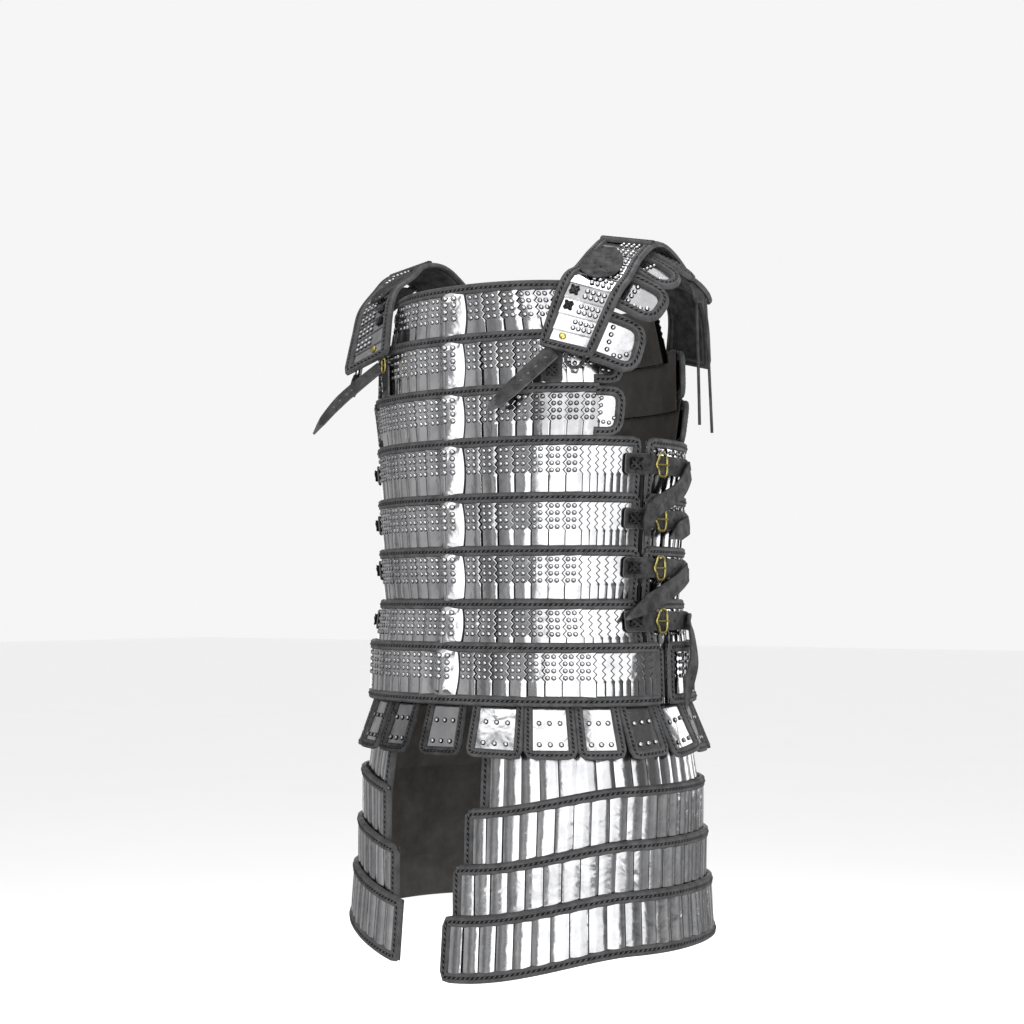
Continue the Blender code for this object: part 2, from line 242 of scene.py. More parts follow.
studio = {
    "floorHeight": -1.42, "floorSize": 60.0, "world": 0.92,
    "tentRadius": 3.6, "tentHeight": 4.2, "tentDark": 0.14, "tentLight": 0.55, "tentShade": 0.62,
    # place, aimed at, width, height, power, whether metal mirrors it
    "boxes": [
        ((1.17, -2.99, -0.25), (0, 0, -0.35), 2.1, 2.2, 26, True),
        ((2.68, -1.74, -0.25), (0, 0, -0.35), 2.3, 2.2, 26, True),
        ((2.55, -1.05, 1.25), (0, 0, -0.25), 1.8, 1.0, 9, True),
        ((0.10, -2.60, 1.55), (0, 0, -0.45), 3.2, 1.5, 24, True),
        ((0.95, -2.40, -1.38), (0.95, -2.40, 0), 2.9, 1.6, 19, True),
        ((3.0, 0.45, 0.1), (0, 0, -0.45), 1.2, 2.4, 24, False),
        ((-2.7, -1.3, 0.3), (0, 0, -0.4), 0.8, 2.0, 18, False),
        ((-1.9, 2.5, -0.1), (0, 0, -0.45), 2.2, 2.2, 30, True),
        ((1.3, 3.0, 0.0), (0, 0, -0.45), 1.4, 2.2, 20, True),
        ((0.0, 0.3, 2.4), (0, 0, 0), 1.4, 1.4, 30, True),
    ],
}

bpy.ops.mesh.primitive_plane_add(size=studio["floorSize"], location=(0, 0, studio["floorHeight"]))
floor = bpy.context.object
floor.name = "floor"
for place, target, wide, tall, power, mirrors in studio["boxes"]:
    way = Vector(target) - Vector(place)
    bpy.ops.object.light_add(type="AREA", location=place, rotation=way.to_track_quat("-Z", "Y").to_euler())
    lamp = bpy.context.object
    lamp.data.shape = "RECTANGLE"
    lamp.data.size = wide
    lamp.data.size_y = tall
    lamp.data.energy = power
    lamp.visible_camera = False
    lamp.visible_glossy = mirrors

# a round screen that only polished metal sees, with soft dark and light stripes
bpy.ops.mesh.primitive_cylinder_add(vertices=64, radius=studio["tentRadius"], depth=studio["tentHeight"],
                                    end_fill_type="NOTHING",
                                    location=(0, 0, studio["floorHeight"] + 0.02 + studio["tentHeight"] / 2))
tent = bpy.context.object
tent.name = "reflectionScreen"
edit(tent)
pick(tent, lambda p: p.z < 0, rim=True)
bpy.ops.mesh.edge_face_add()
leave()
tent.visible_camera = tent.visible_diffuse = tent.visible_shadow = tent.visible_transmission = False
print("stage set")


# Materials

class Wire:
    # wraps a socket, so that sums of sockets read as plain sums
    def __init__(self, socket):
        self.socket = socket
        self.tree = socket.id_data

    def add(self, kind, settings, inputs, output=0):
        node = self.tree.nodes.new(kind)
        for key, value in settings.items():
            setattr(node, key, value)
        for key, value in inputs.items():
            if isinstance(value, Wire):
                self.tree.links.new(value.socket, node.inputs[key])
            else:
                node.inputs[key].default_value = value
        return Wire(node.outputs[output])

    def sum(self, operation, first, second):
        return self.add("ShaderNodeMath", {"operation": operation}, {0: first, 1: second})

    def __add__(self, other):
        return self.sum("ADD", self, other)

    def __radd__(self, other):
        return self.sum("ADD", other, self)

    def __sub__(self, other):
        return self.sum("SUBTRACT", self, other)

    def __rsub__(self, other):
        return self.sum("SUBTRACT", other, self)

    def __mul__(self, other):
        return self.sum("MULTIPLY", self, other)

    def __rmul__(self, other):
        return self.sum("MULTIPLY", other, self)


def newMaterial(name, fixed):
    material = bpy.data.materials.new(name)
    material.use_nodes = True
    shader = material.node_tree.nodes["Principled BSDF"]
    for key, value in fixed.items():
        shader.inputs[key].default_value = value
    coordinates = material.node_tree.nodes.new("ShaderNodeTexCoord")
    return material, shader, Wire(coordinates.outputs["Object"])


def link(wire, shader, key):
    wire.tree.links.new(wire.socket, shader.inputs[key])


def noise(place, scale, detail=3.0, rough=0.5, warp=0.0):
    return place.add("ShaderNodeTexNoise", {}, {"Vector": place, "Scale": scale, "Detail": detail,
                                                "Roughness": rough, "Distortion": warp})


def mapped(value, low, high, out0=0.0, out1=1.0):
    return value.add("ShaderNodeMapRange", {"clamp": True},
                     {"Value": value, "From Min": low, "From Max": high, "To Min": out0, "To Max": out1})


def blended(mask, first, second):
    first, second = (colour if isinstance(colour, Wire) else (*colour, 1) for colour in (first, second))
    return mask.add("ShaderNodeMix", {"data_type": "RGBA"}, {"Factor": mask, 6: first, 7: second}, output=2)


def bumped(height, strength, distance):
    return height.add("ShaderNodeBump", {}, {"Height": height, "Strength": strength, "Distance": distance})


def wearAndShadeOn(place):
    return place.add("ShaderNodeAttribute", {"attribute_name": "wearAndShade"}, {}, output=2)


steelFinish = {
    "bright": (0.70, 0.70, 0.71), "dull": (0.55, 0.55, 0.57), "darkToneAndShade": (0.03, 0.03, 0.033), "clouds": 30.0,
    "roughLow": 0.10, "roughHigh": 0.24, "waves": 48.0, "waveDepth": 0.0009, "scratches": 700.0,
}


def steelMaterial(name):
    f = steelFinish
    material, shader, place = newMaterial(name, {"Metallic": 1.0})
    cloud = noise(place, f["clouds"], 4.0, 0.6)
    smear = noise(place, f["scratches"], 2.0, 0.6)
    polish = blended(mapped(cloud, 0.35, 0.68), f["bright"], f["dull"])
    # values below 0 of the wear attribute blend the steel towards near black: painted shadow under plate
    # edges, painted shade on dot rims and some plates, and random darker tones
    link(blended(wearAndShadeOn(place) * -1.0, polish, f["darkToneAndShade"]), shader, "Base Color")
    link(mapped(cloud * 0.7 + smear * 0.3, 0.3, 0.7, f["roughLow"], f["roughHigh"]), shader, "Roughness")
    waves = noise(place, f["waves"], 2.0, 0.45, 0.4) + smear * 0.006
    link(bumped(waves, 1.0, f["waveDepth"]), shader, "Normal")
    return material


leatherFinish = {
    "deep": (0.003, 0.003, 0.0035), "worn": (0.135, 0.134, 0.137), "roughLow": 0.42, "roughHigh": 0.66,
    "clouds": 70.0, "specks": 620.0, "grain": 900.0, "pores": 300.0, "grainDepth": 0.0004,
}


def leatherMaterial(name):
    f = leatherFinish
    material, shader, place = newMaterial(name, {"Specular IOR Level": 0.14})
    cloud = noise(place, f["clouds"], 4.0, 0.62)
    speck = noise(place, f["specks"], 2.0, 0.7)
    # the wear attribute adds real paleness, and below 0 painted shade in stitch holes, slits and grooves
    shade = mapped(cloud * 0.6 + speck * 0.4, 0.34, 0.70, 0.08, 0.46) + wearAndShadeOn(place) * 0.5
    link(blended(shade, f["deep"], f["worn"]), shader, "Base Color")
    link(mapped(cloud, 0.3, 0.7, f["roughHigh"], f["roughLow"]), shader, "Roughness")
    grain = place.add("ShaderNodeTexVoronoi", {"feature": "F1"}, {"Vector": place, "Scale": f["grain"]})
    link(bumped(grain * 0.5 + noise(place, f["pores"]) * 0.5, 1.0, f["grainDepth"]), shader, "Normal")
    return material


suedeFinish = {"light": (0.082, 0.077, 0.072), "dark": (0.034, 0.032, 0.030), "clouds": 24.0, "nap": 1100.0}


def suedeMaterial(name):
    f = suedeFinish
    material, shader, place = newMaterial(name, {"Specular IOR Level": 0.15})
    cloud = noise(place, f["clouds"], 5.0, 0.65)
    nap = noise(place, f["nap"], 2.0, 0.7)
    link(blended(mapped(cloud * 0.7 + nap * 0.3, 0.3, 0.7), f["dark"], f["light"]), shader, "Base Color")
    link(mapped(nap, 0.3, 0.7, 0.85, 0.98), shader, "Roughness")
    link(bumped(nap, 0.6, 0.0004), shader, "Normal")
    return material


brassFinish = {"bright": (0.62, 0.53, 0.15), "dull": (0.33, 0.28, 0.09), "roughLow": 0.16, "roughHigh": 0.38,
               "clouds": 160.0, "dents": 420.0}


def brassMaterial(name):
    f = brassFinish
    material, shader, place = newMaterial(name, {"Metallic": 1.0})
    cloud = noise(place, f["clouds"], 4.0, 0.6)
    link(blended(mapped(cloud, 0.4, 0.7), f["bright"], f["dull"]), shader, "Base Color")
    link(mapped(cloud, 0.3, 0.7, f["roughLow"], f["roughHigh"]), shader, "Roughness")
    link(bumped(noise(place, f["dents"]), 0.5, 0.0003), shader, "Normal")
    return material


finishes = {
    "steel": steelMaterial("polishedSteel"),
    "leather": leatherMaterial("blackLeather"),
    "suede": suedeMaterial("suedeLining"),
    "brass": brassMaterial("brassFittings"),
}

floorLook, floorShader, floorPlace = newMaterial("paleFloor", {"Roughness": 0.9, "Specular IOR Level": 0.1})
link(blended(noise(floorPlace, 2.0), (0.93, 0.93, 0.93), (0.95, 0.95, 0.95)), floorShader, "Base Color")
floor.data.materials.append(floorLook)

tentLook, tentShader, tentPlace = newMaterial("softStripes", {
    "Roughness": 1.0, "Specular IOR Level": 0.0, "Base Color": (0, 0, 0, 1), "Emission Strength": 1.0})
stretched = tentPlace.add("ShaderNodeMapping", {}, {"Vector": tentPlace, "Scale": (1.0, 1.0, 0.15)})
alongX, alongZ = (tentPlace.add("ShaderNodeSeparateXYZ", {}, {"Vector": tentPlace}, output=k) for k in (0, 2))
shade = mapped(alongX, 2.3, 3.2, 0.0, studio["tentShade"]) * mapped(alongZ, -2.0, -1.6)
stripes = mapped(noise(stretched, 1.1, 2.0), 0.36, 0.64, studio["tentDark"], studio["tentLight"])
glow = stripes * (1.0 - shade)
link(blended(glow, (0, 0, 0), (1, 1, 1)), tentShader, "Emission Color")
tent.data.materials.append(tentLook)

world = bpy.data.worlds.new("studio")
world.use_nodes = True
bpy.context.scene.world = world
sky = world.node_tree.nodes["Background"]
sky.inputs["Color"].default_value = (1, 1, 1, 1)
sky.inputs["Strength"].default_value = studio["world"]
bpy.context.scene.view_settings.view_transform = "Standard"
print("materials made")


def finished(piece, look, *nodes, smooth=38.0):
    # nodes are the parts of the frame that the piece stands for
    selectOnly(piece)
    bpy.ops.object.shade_smooth_by_angle(angle=math.radians(smooth))
    piece.data.materials.clear()
    piece.data.materials.append(finishes[look])
    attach(piece, "root")
    if nodes:
        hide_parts(*nodes)


def assembled(name, node, wrap, *groups):
    # joins each look's parts and wraps them into place; the first of them stands for the node
    pieces = [(joined(name + suffix, parts), look) for suffix, look, parts in groups]
    for number, (piece, look) in enumerate(pieces):
        wrap(piece)
        finished(piece, look, *([] if number else [node]))


# Pieces are modelled flat: x runs along the wall from its centre line, z up from the row's head
# and -y outwards. Then they are wrapped round the body.

squareness = 2.2


def runningTotal(steps):
    return np.concatenate([[0], np.cumsum(steps)])


def stepLengths(points):
    # how far each point is along its line
    return runningTotal(np.linalg.norm(np.diff(points, axis=0), axis=1))


def unit(vectors):
    return vectors / np.linalg.norm(vectors, axis=1)[:, None]


def ovalXY(wide, deep, angle):
    power = 2 / squareness
    across, ahead = np.sin(angle), np.cos(angle)
    return (wide * np.sign(across) * np.abs(across) ** power,
            -deep * np.sign(ahead) * np.abs(ahead) ** power)


def arcTable(shape):
    # lengths along the oval from the front centre, and their angles
    angles = np.linspace(-math.pi, math.pi, 2881)
    lengths = runningTotal(np.hypot(*np.diff(ovalXY(shape["wide"], shape["deep"], angles))))
    return angles, lengths - np.interp(0.0, angles, lengths)


def arcAt(shape, degrees):
    return float(np.interp(math.radians(degrees), *arcTable(shape)))


def cornerDrop(angle):
    # 1 at the front centre, fading to 0 towards the wearer's side
    share = np.minimum(1.0, np.abs(angle) / math.radians(62.0))
    return 1.0 - share * share * (3.0 - 2.0 * share)


def wrapWall(piece, shape, turn=0.0):
    angles, lengths = arcTable(shape)
    tall = shape["head"] - shape["foot"]

    def bend(x, y, z):
        angle = np.interp(x, lengths, angles) + turn
        share = -z / tall
        wide = shape["wide"] + (shape["lowWide"] - shape["wide"]) * share - y
        deep = shape["deep"] + (shape["lowDeep"] - shape["deep"]) * share - y
        fall = cornerDrop(angle)
        head = shape["head"] - shape.get("drop", 0.0) * fall
        foot = shape["foot"] - shape.get("lowDrop", 0.0) * fall
        return *ovalXY(wide, deep, angle), head + (foot - head) * share

    reshape(piece, bend)


def curved(start, middle, end, steps):
    # points along a plain curve that the middle one draws towards itself
    shares = [step / steps for step in range(steps + 1)]
    return [start * (1 - t) ** 2 + middle * 2 * t * (1 - t) + end * t ** 2 for t in shares]


# Shapes that repeat: an embossed dot, a lamella, a stitch, a stretch of binding, a laced cross

upright = (math.radians(90), 0, 0)
dot = {"radius": 0.0033, "height": 0.0020, "corners": 8, "rings": ((0.5, 0.80), (0.35, 0.55), (0.15, 0.50))}


def makeKnob(corners, radius, rings):
    # a round knob that stands out in rings, each with its rise and how much it narrows
    bpy.ops.mesh.primitive_circle_add(vertices=corners, radius=radius, fill_type="NGON", rotation=upright)
    piece = justMade("knob")
    edit(piece)
    for rise, size in rings:
        extrude(0, -rise, 0)
        bpy.ops.transform.resize(value=(size, 1, size), center_override=(0, 0, 0))
    leave()
    return piece


def makeDot():
    tall = dot["height"]
    piece = makeKnob(dot["corners"], dot["radius"], [(tall * rise, size) for rise, size in dot["rings"]])
    # the low ring round each dot is painted shade, dark as the shaded side of a dome
    return tinted(piece, -0.8, lambda face: face.center.y > -tall * 0.4)


def dotsAt(spots, out, size=1.0):
    # embossed dots at some x and z of a flat plate
    return [copied(dotMaster, (x, -out, z), size=(size, 1, size)) for x, z in spots]


lamella = {
    "pitch": 0.0211, "lap": 0.0030, "thick": 0.0009, "bulge": 0.0004, "plainBulge": 0.0022, "lean": 0.0026,
    "base": 0.0010, "tooth": 0.0040, "toothStep": 0.0044, "toothTop": -0.0068, "toothCount": 9,
    "dotTop": -0.0156, "dotStep": 0.0088, "dotRows": 4, "dotColumns": (0.0116, 0.0190),
    "shoulder": 0.0028, "shoulderIn": 0.0006, "rim": 0.0008, "shadow": 0.0012, "loose": 1.2, "spread": 0.12,
    "closePitch": 0.0106, "closeLean": 0.0020, "closeBulge": 0.0001, "closeLoose": 0.3,
    # how far above its row's foot it ends, and how far below the head it starts
    "shorter": 0.0005, "start": 0.001,
}


def dotSpots(columns):
    rows = range(lamella["dotRows"])
    return [(x, lamella["dotTop"] - row * lamella["dotStep"]) for x in columns for row in rows]


def flatGrid(columns, rows, wide, tall, x, z):
    bpy.ops.mesh.primitive_grid_add(x_subdivisions=columns, y_subdivisions=rows, size=1,
                                    rotation=upright, location=(x, 0, z))
    return justMade("grid", (wide, tall, 1))


def makeLamella(pitch, tall, toothed, dotted, rise=lamella["lean"], lap=lamella["lap"]):
    # inner edge at x = 0; the outer edge has teeth beside the dots and a black strip of painted shadow under
    # it
    spec, near = lamella, 0.0005
    wide, tall = pitch + lap, tall - spec["shorter"]
    top = spec["toothTop"]
    foot = top - spec["toothCount"] * spec["toothStep"]
    piece = flatGrid(5, spec["toothCount"] if toothed else 2, wide, top - foot, wide / 2, (top + foot) / 2)
    edit(piece)
    if toothed:
        pick(piece, lambda p: p.x > wide * 0.95 and round((top - p.z) / spec["toothStep"]) % 2 == 1)
        bpy.ops.transform.translate(value=(spec["tooth"], 0, 0))
    pick(piece, lambda p: p.z < foot + near, rim=True)
    extrude(0, 0, -spec["shoulder"])
    if toothed:
        pick(piece, lambda p: p.x > wide * 0.95 and p.z < foot - 0.002)
        bpy.ops.transform.translate(value=(-spec["shoulderIn"], 0, 0))
    pick(piece, lambda p: p.z < foot - spec["shoulder"] + near, rim=True)
    extrude(0, 0, spec["shoulder"] - foot - tall)
    pick(piece, lambda p: p.z > top - near, rim=True)
    extrude(0, 0, -spec["start"] - top)
    leave()
    bulge = (spec["bulge"] if dotted else spec["closeBulge"]) if toothed else spec["plainBulge"]
    reshape(piece, lambda x, y, z: (x, y - np.sin(np.clip(x / wide, 0, 1) * math.pi) * bulge, z))
    edit(piece)
    pick(piece, lambda p: p.x > wide * 0.93, rim=True)
    pushEdge(piece, (spec["rim"], spec["rim"] * 0.6, 0), 0.5)
    # a strip painted black as the shadow that the edge casts on the next lamella
    pushEdge(piece, (spec["shadow"], spec["shadow"] * 0.2, 0), -1.0)
    leave()
    thicken(piece, spec["thick"])
    if dotted:
        piece = joined("lamella", [piece] + [
            copied(dotMaster, (x, -bulge * math.sin(x / wide * math.pi) - 0.0001, z))
            for x, z in dotSpots(spec["dotColumns"])])
    # its outer edge lies over the next lamella's inner edge
    reshape(piece, lambda x, y, z: (x, y - x * (rise / wide) - spec["base"], z))
    return piece


keel = {"wide": 0.036, "aside": -0.011, "rise": 0.0100, "dotColumns": (-0.0038, 0.0062), "dotSize": 1.15,
        "lap": 0.002, "out": 0.0038, "curve": 0.0048, "curveIn": 0.0032, "rim": 0.0006,
        "shadows": (0.0014, 0.0008),
        # where the ridge is, as a share of half the width, and how it flattens below the head and at the foot
        "ridge": -0.3, "headFlat": 0.006, "headFade": 0.010, "footFlat": 0.008, "footFade": 0.008}


def keelRise(x, z, tall):
    # how far the keel stands out, flat under the binding above and behind the row below
    spec, top = keel, keel["ridge"]
    share = np.clip(x / (spec["wide"] / 2), -1, 1)
    ridge = np.where(share < top, (share + 1) / (1 + top), (1 - share) / (1 - top))
    fade = (np.clip((-z - spec["headFlat"]) / spec["headFade"], 0, 1)
            * np.clip((tall + z - spec["footFlat"]) / spec["footFade"], 0, 1))
    return spec["rise"] * (ridge - 0.08 * ridge ** 4) * fade * fade * (3 - 2 * fade)


def makeKeel(tall):
    # the centre lamella: wider, keeled, over both its neighbours, its left edge gently curved
    spec, tall = keel, tall - lamella["shorter"]
    piece = flatGrid(10, 14, spec["wide"], tall, 0, -tall / 2)

    def crown(x, y, z):
        sway = spec["curve"] * np.sin(-z / tall * math.pi * 1.15) - spec["curveIn"]
        return x + np.clip(x / (spec["wide"] / 2), 0, 1) * sway, y - keelRise(x, z, tall) - spec["out"], z

    reshape(piece, crown)
    edit(piece)
    for sign, shadow in zip((1, -1), spec["shadows"]):
        pick(piece, lambda p: p.x * sign > spec["wide"] * 0.38, rim=True)
        pushEdge(piece, (sign * spec["rim"], 0.0005, 0), 0.5)
        # a strip painted black as the shadow beside each edge of the keel
        pushEdge(piece, (sign * shadow, 0.0006, 0), -1.0)
    leave()
    thicken(piece, lamella["thick"])
    dots = [copied(dotMaster, (x, -float(keelRise(x, z, tall)) - 0.0039, z), (0, 0, 0.36),
                   (spec["dotSize"],) * 3) for x, z in dotSpots(spec["dotColumns"])]
    # the keel's dots are darkened further: painted shade on their rims
    return joined("keel", [piece] + [shiftedToneAndShade(one, -0.12) for one in dots])


binding = {
    "wide": 0.0138, "thick": 0.0074, "pitch": 0.0064, "sides": 12, "flat": 0.55, "groove": 0.86,
    "strandLong": 0.0050, "strandWide": 0.0018, "strandDeep": 0.0018, "strandTurn": 62.0,
    "holeLong": 0.0050, "holeWide": 0.0027, "holeTurn": 66.0,
}


def makeOval(long, wide, deep, turn, wearAndShade, segments=8, rings=5):
    # a small rounded strand or hole that lies on the wall, turned by some degrees from upright
    bpy.ops.mesh.primitive_uv_sphere_add(segments=segments, ring_count=rings, radius=0.5)
    piece = justMade("oval", (wide, deep, long))
    piece.rotation_euler.y = math.radians(turn)
    bpy.ops.object.transform_apply(rotation=True)
    return tinted(piece, wearAndShade)


def makeBinding():
    # one stretch of rolled leather edge with its lacing, open at both ends
    spec = binding
    bpy.ops.mesh.primitive_cylinder_add(vertices=spec["sides"], radius=0.5, depth=1, end_fill_type="NOTHING",
                                        rotation=(0, math.radians(90), 0), location=(0.5, 0, 0))
    piece = justMade("bindingStretch")

    def roll(x, y, z):
        # a flattened roll with a groove along the middle of its front
        half = math.pi / spec["sides"]
        y, z = y * math.cos(half) - z * math.sin(half), y * math.sin(half) + z * math.cos(half)
        front = 0.5 * np.abs(y * 2) ** spec["flat"]
        front = np.where(np.abs(z) < 0.16, front * spec["groove"], front)
        return x * spec["pitch"], np.where(y < 0, -front, y * 0.2) * spec["thick"] * 1.8, z * spec["wide"]

    reshape(piece, roll)
    tinted(piece, 0.28)
    # the groove along the middle is darkened with painted shade
    tinted(piece, -0.2, lambda face: abs(face.center.z) < spec["wide"] * 0.05)
    face = -spec["thick"] * 0.9 * spec["groove"]
    lacing = [copied(shape, (spec["pitch"] * share, face, 0))
              for shape, share in ((strandMaster, 0.25), (holeMaster, 0.75))]
    return joined("bindingStretch", [piece] + lacing)


def along(path):
    # lengths, places and upward normals, as x and z, of a flat course
    points = np.array(path, float)
    steps = np.diff(points, axis=0)
    long = np.hypot(*steps.T)
    ways = steps / long[:, None]
    mean = np.vstack([ways[:1], (ways[:-1] + ways[1:]) / 2, ways[-1:]])
    mean /= np.maximum(np.hypot(*mean.T)[:, None], 0.5)
    return runningTotal(long), points.T, (-mean[:, 1], mean[:, 0])


def layBinding(path, size=1.0, lift=0.0):
    # a laced leather edge along a flat course, closed at its two ends
    lengths, points, normals = along(path)
    total = lengths[-1]
    count = max(2, round(total / (binding["pitch"] * size)))
    piece = joined("binding", [copied(bindingMaster, size=(total / (count * binding["pitch"]), size, size))])
    modified(piece, "ARRAY", count=count, use_relative_offset=False, use_constant_offset=True,
             constant_offset_displace=(total / count, 0, 0), use_merge_vertices=True, merge_threshold=0.0001)
    edit(piece)
    for end in (0.0, total):
        pick(piece, lambda p: abs(p.x - end) < 1e-5, rim=True)
        bpy.ops.mesh.edge_face_add()
    leave()

    def lay(x, y, z):
        at = np.clip(x, 0, total)
        over = x - at
        middle, height, aside, up = (np.interp(at, lengths, line) for line in (*points, *normals))
        return middle + aside * z + up * over, y - lift, height + up * z - aside * over

    reshape(piece, lay)
    return piece


def rounded(corners, radius, steps=4):
    # the corners of an open course turned into arcs
    out = [corners[0]]
    for before, corner, after in zip(corners, corners[1:], corners[2:]):
        a, b, c = Vector(before), Vector(corner), Vector(after)
        start, end = b + (a - b).normalized() * radius, b + (c - b).normalized() * radius
        out += map(tuple, curved(start, b, end, steps))
    return out + [corners[-1]]


def makePlate(left, right, low, high, radius, thick, outer=0.0, corner=lambda p: True, cell=0.013):
    # a flat plate with some rounded corners, cut finely enough to follow a curved wall
    bpy.ops.mesh.primitive_plane_add(size=1, rotation=upright,
                                     location=((left + right) / 2, 0, (low + high) / 2))
    piece = justMade("plate", (right - left, high - low, 1))
    edit(piece)
    if radius:
        pick(piece, corner)
        bpy.ops.mesh.bevel(offset=radius, segments=4, affect="VERTICES")
    for start, end, way in ((left, right, (1, 0, 0)), (low, high, (0, 0, 1))):
        count = max(1, math.ceil((end - start) / cell))
        for step in range(1, count):
            place = start + (end - start) * step / count
            bpy.ops.mesh.select_all(action="SELECT")
            bpy.ops.mesh.bisect(plane_co=[place * w for w in way], plane_no=way)
    leave()
    thicken(piece, thick)
    reshape(piece, lambda x, y, z: (x, y - outer, z))
    return piece


cross = {"half": 0.0052, "radius": 0.0014, "thick": 0.0009, "strandAside": 0.0017, "knotAside": 0.0042}


def makeCross():
    # a square of black lacing crossed over twice
    half, aside, knot = cross["half"], cross["strandAside"], cross["knotAside"]
    parts = [tinted(makePlate(-half, half, -half, half, cross["radius"], cross["thick"], cell=1), -0.9)]
    for turn, lift in ((math.radians(45), 0.0012), (math.radians(-45), 0.0022)):
        for step in (-aside, aside):
            place = (step * math.cos(turn), -lift, -step * math.sin(turn))
            parts.append(copied(crossStrand, place, (0, turn, 0)))
    parts += [copied(crossKnot, (x, -0.0012, z)) for x in (-knot, knot) for z in (-knot, knot)]
    return joined("cross", parts)


dotMaster = makeDot()
strandMaster = makeOval(binding["strandLong"], binding["strandWide"], binding["strandDeep"],
                        binding["strandTurn"], 0.45, 6, 4)
# the stitch holes are black ovals: painted shade for the dark inside of each hole
holeMaster = makeOval(binding["holeLong"], binding["holeWide"], 0.0014, binding["holeTurn"], -1.0, 8, 3)
crossStrand = makeOval(0.0126, 0.0024, 0.0020, 0.0, -0.15)
crossKnot = makeOval(0.0032, 0.0032, 0.0022, 0.0, -0.3, 6, 4)
# slits are black ovals: painted shade for the inside of the cut; the tongues tint theirs pale
slit = makeOval(0.0046, 0.0021, 0.0010, 0.0, -1.0, 8, 4)
bindingMaster = makeBinding()
crossMaster = makeCross()
masters = [dotMaster, strandMaster, holeMaster, crossStrand, crossKnot, slit, bindingMaster, crossMaster]
print("repeated shapes made")

# Laces that hang from under the left shoulder plates: top, middle and end

laces = {
    "thick": 0.004, "steps": 20,
    "lace_1": [(0.2370, 0.0360, -0.0800), (0.2400, 0.0350, -0.1600), (0.2420, 0.0340, -0.2460)],
    "lace_2": [(0.2440, 0.0480, -0.0800), (0.2490, 0.0475, -0.1650), (0.2530, 0.0470, -0.2560)],
}


def hangLace(name):
    points = curved(*(Vector(point) for point in laces[name]), laces["steps"])
    data = bpy.data.curves.new(name + "Lace", "CURVE")
    data.dimensions = "3D"
    data.bevel_depth = laces["thick"] / 2
    data.bevel_resolution = 3
    data.use_fill_caps = True
    spline = data.splines.new("POLY")
    spline.points.add(laces["steps"])
    spline.use_smooth = True
    for point, place in zip(spline.points, points):
        point.co = (*place, 1)
    data.materials.append(finishes["leather"])
    lace = bpy.data.objects.new(name + "Lace", data)
    bpy.context.scene.collection.objects.link(lace)
    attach(lace, "root")
    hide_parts(name)
    sum((b - a).length for a, b in zip(points, points[1:]))


hangLace("lace_1")
hangLace("lace_2")

# The torso's rows from the top: head, half-width and half-depth of the inner face, and how far
# the row reaches to each side of the front and the back centre, in degrees. Past the open ones, the
# lamellae of the front's left side overlap more closely.
torsoRows = [
    {"head": -0.070, "wide": 0.176, "deep": 0.160, "front": 45.0, "back": 43.125},
    {"head": -0.134, "wide": 0.210, "deep": 0.162, "front": 63.0, "back": 60.375, "ends": True},
    # dull is painted shade: it darkens this row's lamellae along one side of the row
    {"head": -0.202, "wide": 0.219, "deep": 0.163, "front": 63.0, "back": 60.375, "ends": True, "dull": 0.35},
    {"head": -0.268, "wide": 0.213, "deep": 0.163, "front": 72.0, "back": 103.5, "open": 7},
    {"head": -0.339, "wide": 0.211, "deep": 0.163, "front": 72.0, "back": 103.5, "open": 7},
    {"head": -0.406, "wide": 0.209, "deep": 0.162, "front": 72.0, "back": 103.5, "open": 7},
    {"head": -0.473, "wide": 0.206, "deep": 0.161, "front": 72.0, "back": 103.5, "open": 7},
    {"head": -0.527, "wide": 0.221, "deep": 0.171, "front": 81.0, "back": 94.875, "open": 8},
]
torso = {
    "hem": {"head": -0.603, "wide": 0.2235, "deep": 0.173}, "lap": 0.0058, "under": 0.016,
    "bindingDown": 0.0050, "bindingFoot": 0.004, "bindingIn": 0.003, "corner": 0.004,
    "shade": (-0.14, 0.0), "paintedShadeFrom": 0.095,
}
endPlate = {
    "long": 0.040, "lap": 0.004, "top": -0.003, "radius": 0.018, "thick": 0.0011, "outer": 0.0030,
    "border": 0.95, "borderTop": -0.0085, "borderIn": 0.005, "borderRadius": 0.016, "borderLift": 0.0012,
    # dots down from the row's head and up from the plate's foot
    "headDots": ((0.0085, -0.018), (0.0085, -0.027), (0.0085, -0.036)),
    "footDots": ((0.013, 0.0175), (0.0205, 0.0165), (0.027, 0.0225)), "dotsOut": 0.0038, "dotSize": 0.85,
}


def rowShape(rows, index, hem, lift=0.0):
    # the wall of a row, which ends behind the next one's head, or at the hem
    row, last = rows[index], index == len(rows) - 1
    below = hem if last else rows[index + 1]
    under, lap = (0.0, 0.0) if last else (torso["under"], torso["lap"])
    return {
        "head": row["head"] + lift, "foot": below["head"] + lift - under,
        "wide": row["wide"], "lowWide": below["wide"] - lap,
        "deep": row["deep"], "lowDeep": below["deep"] - lap,
        "drop": row.get("drop", 0.0), "lowDrop": below.get("drop", 0.0),
    }


def torsoShape(index):
    return rowShape(torsoRows, index, torso["hem"])


def rowReach(side, index):
    # from the centre of the front or the back along the wall to the row's end
    shape, degrees = torsoShape(index), torsoRows[index][side]
    if side == "front":
        return arcAt(shape, degrees)
    angles, lengths = arcTable(shape)
    return float(lengths[-1] - np.interp(math.pi - math.radians(degrees), angles, lengths))


def slightTurn(loose=1.0):
    return [math.radians(random.uniform(-1, 1) * lamella["loose"] * loose * k) for k in (0.5, 0.35, 0.9)]


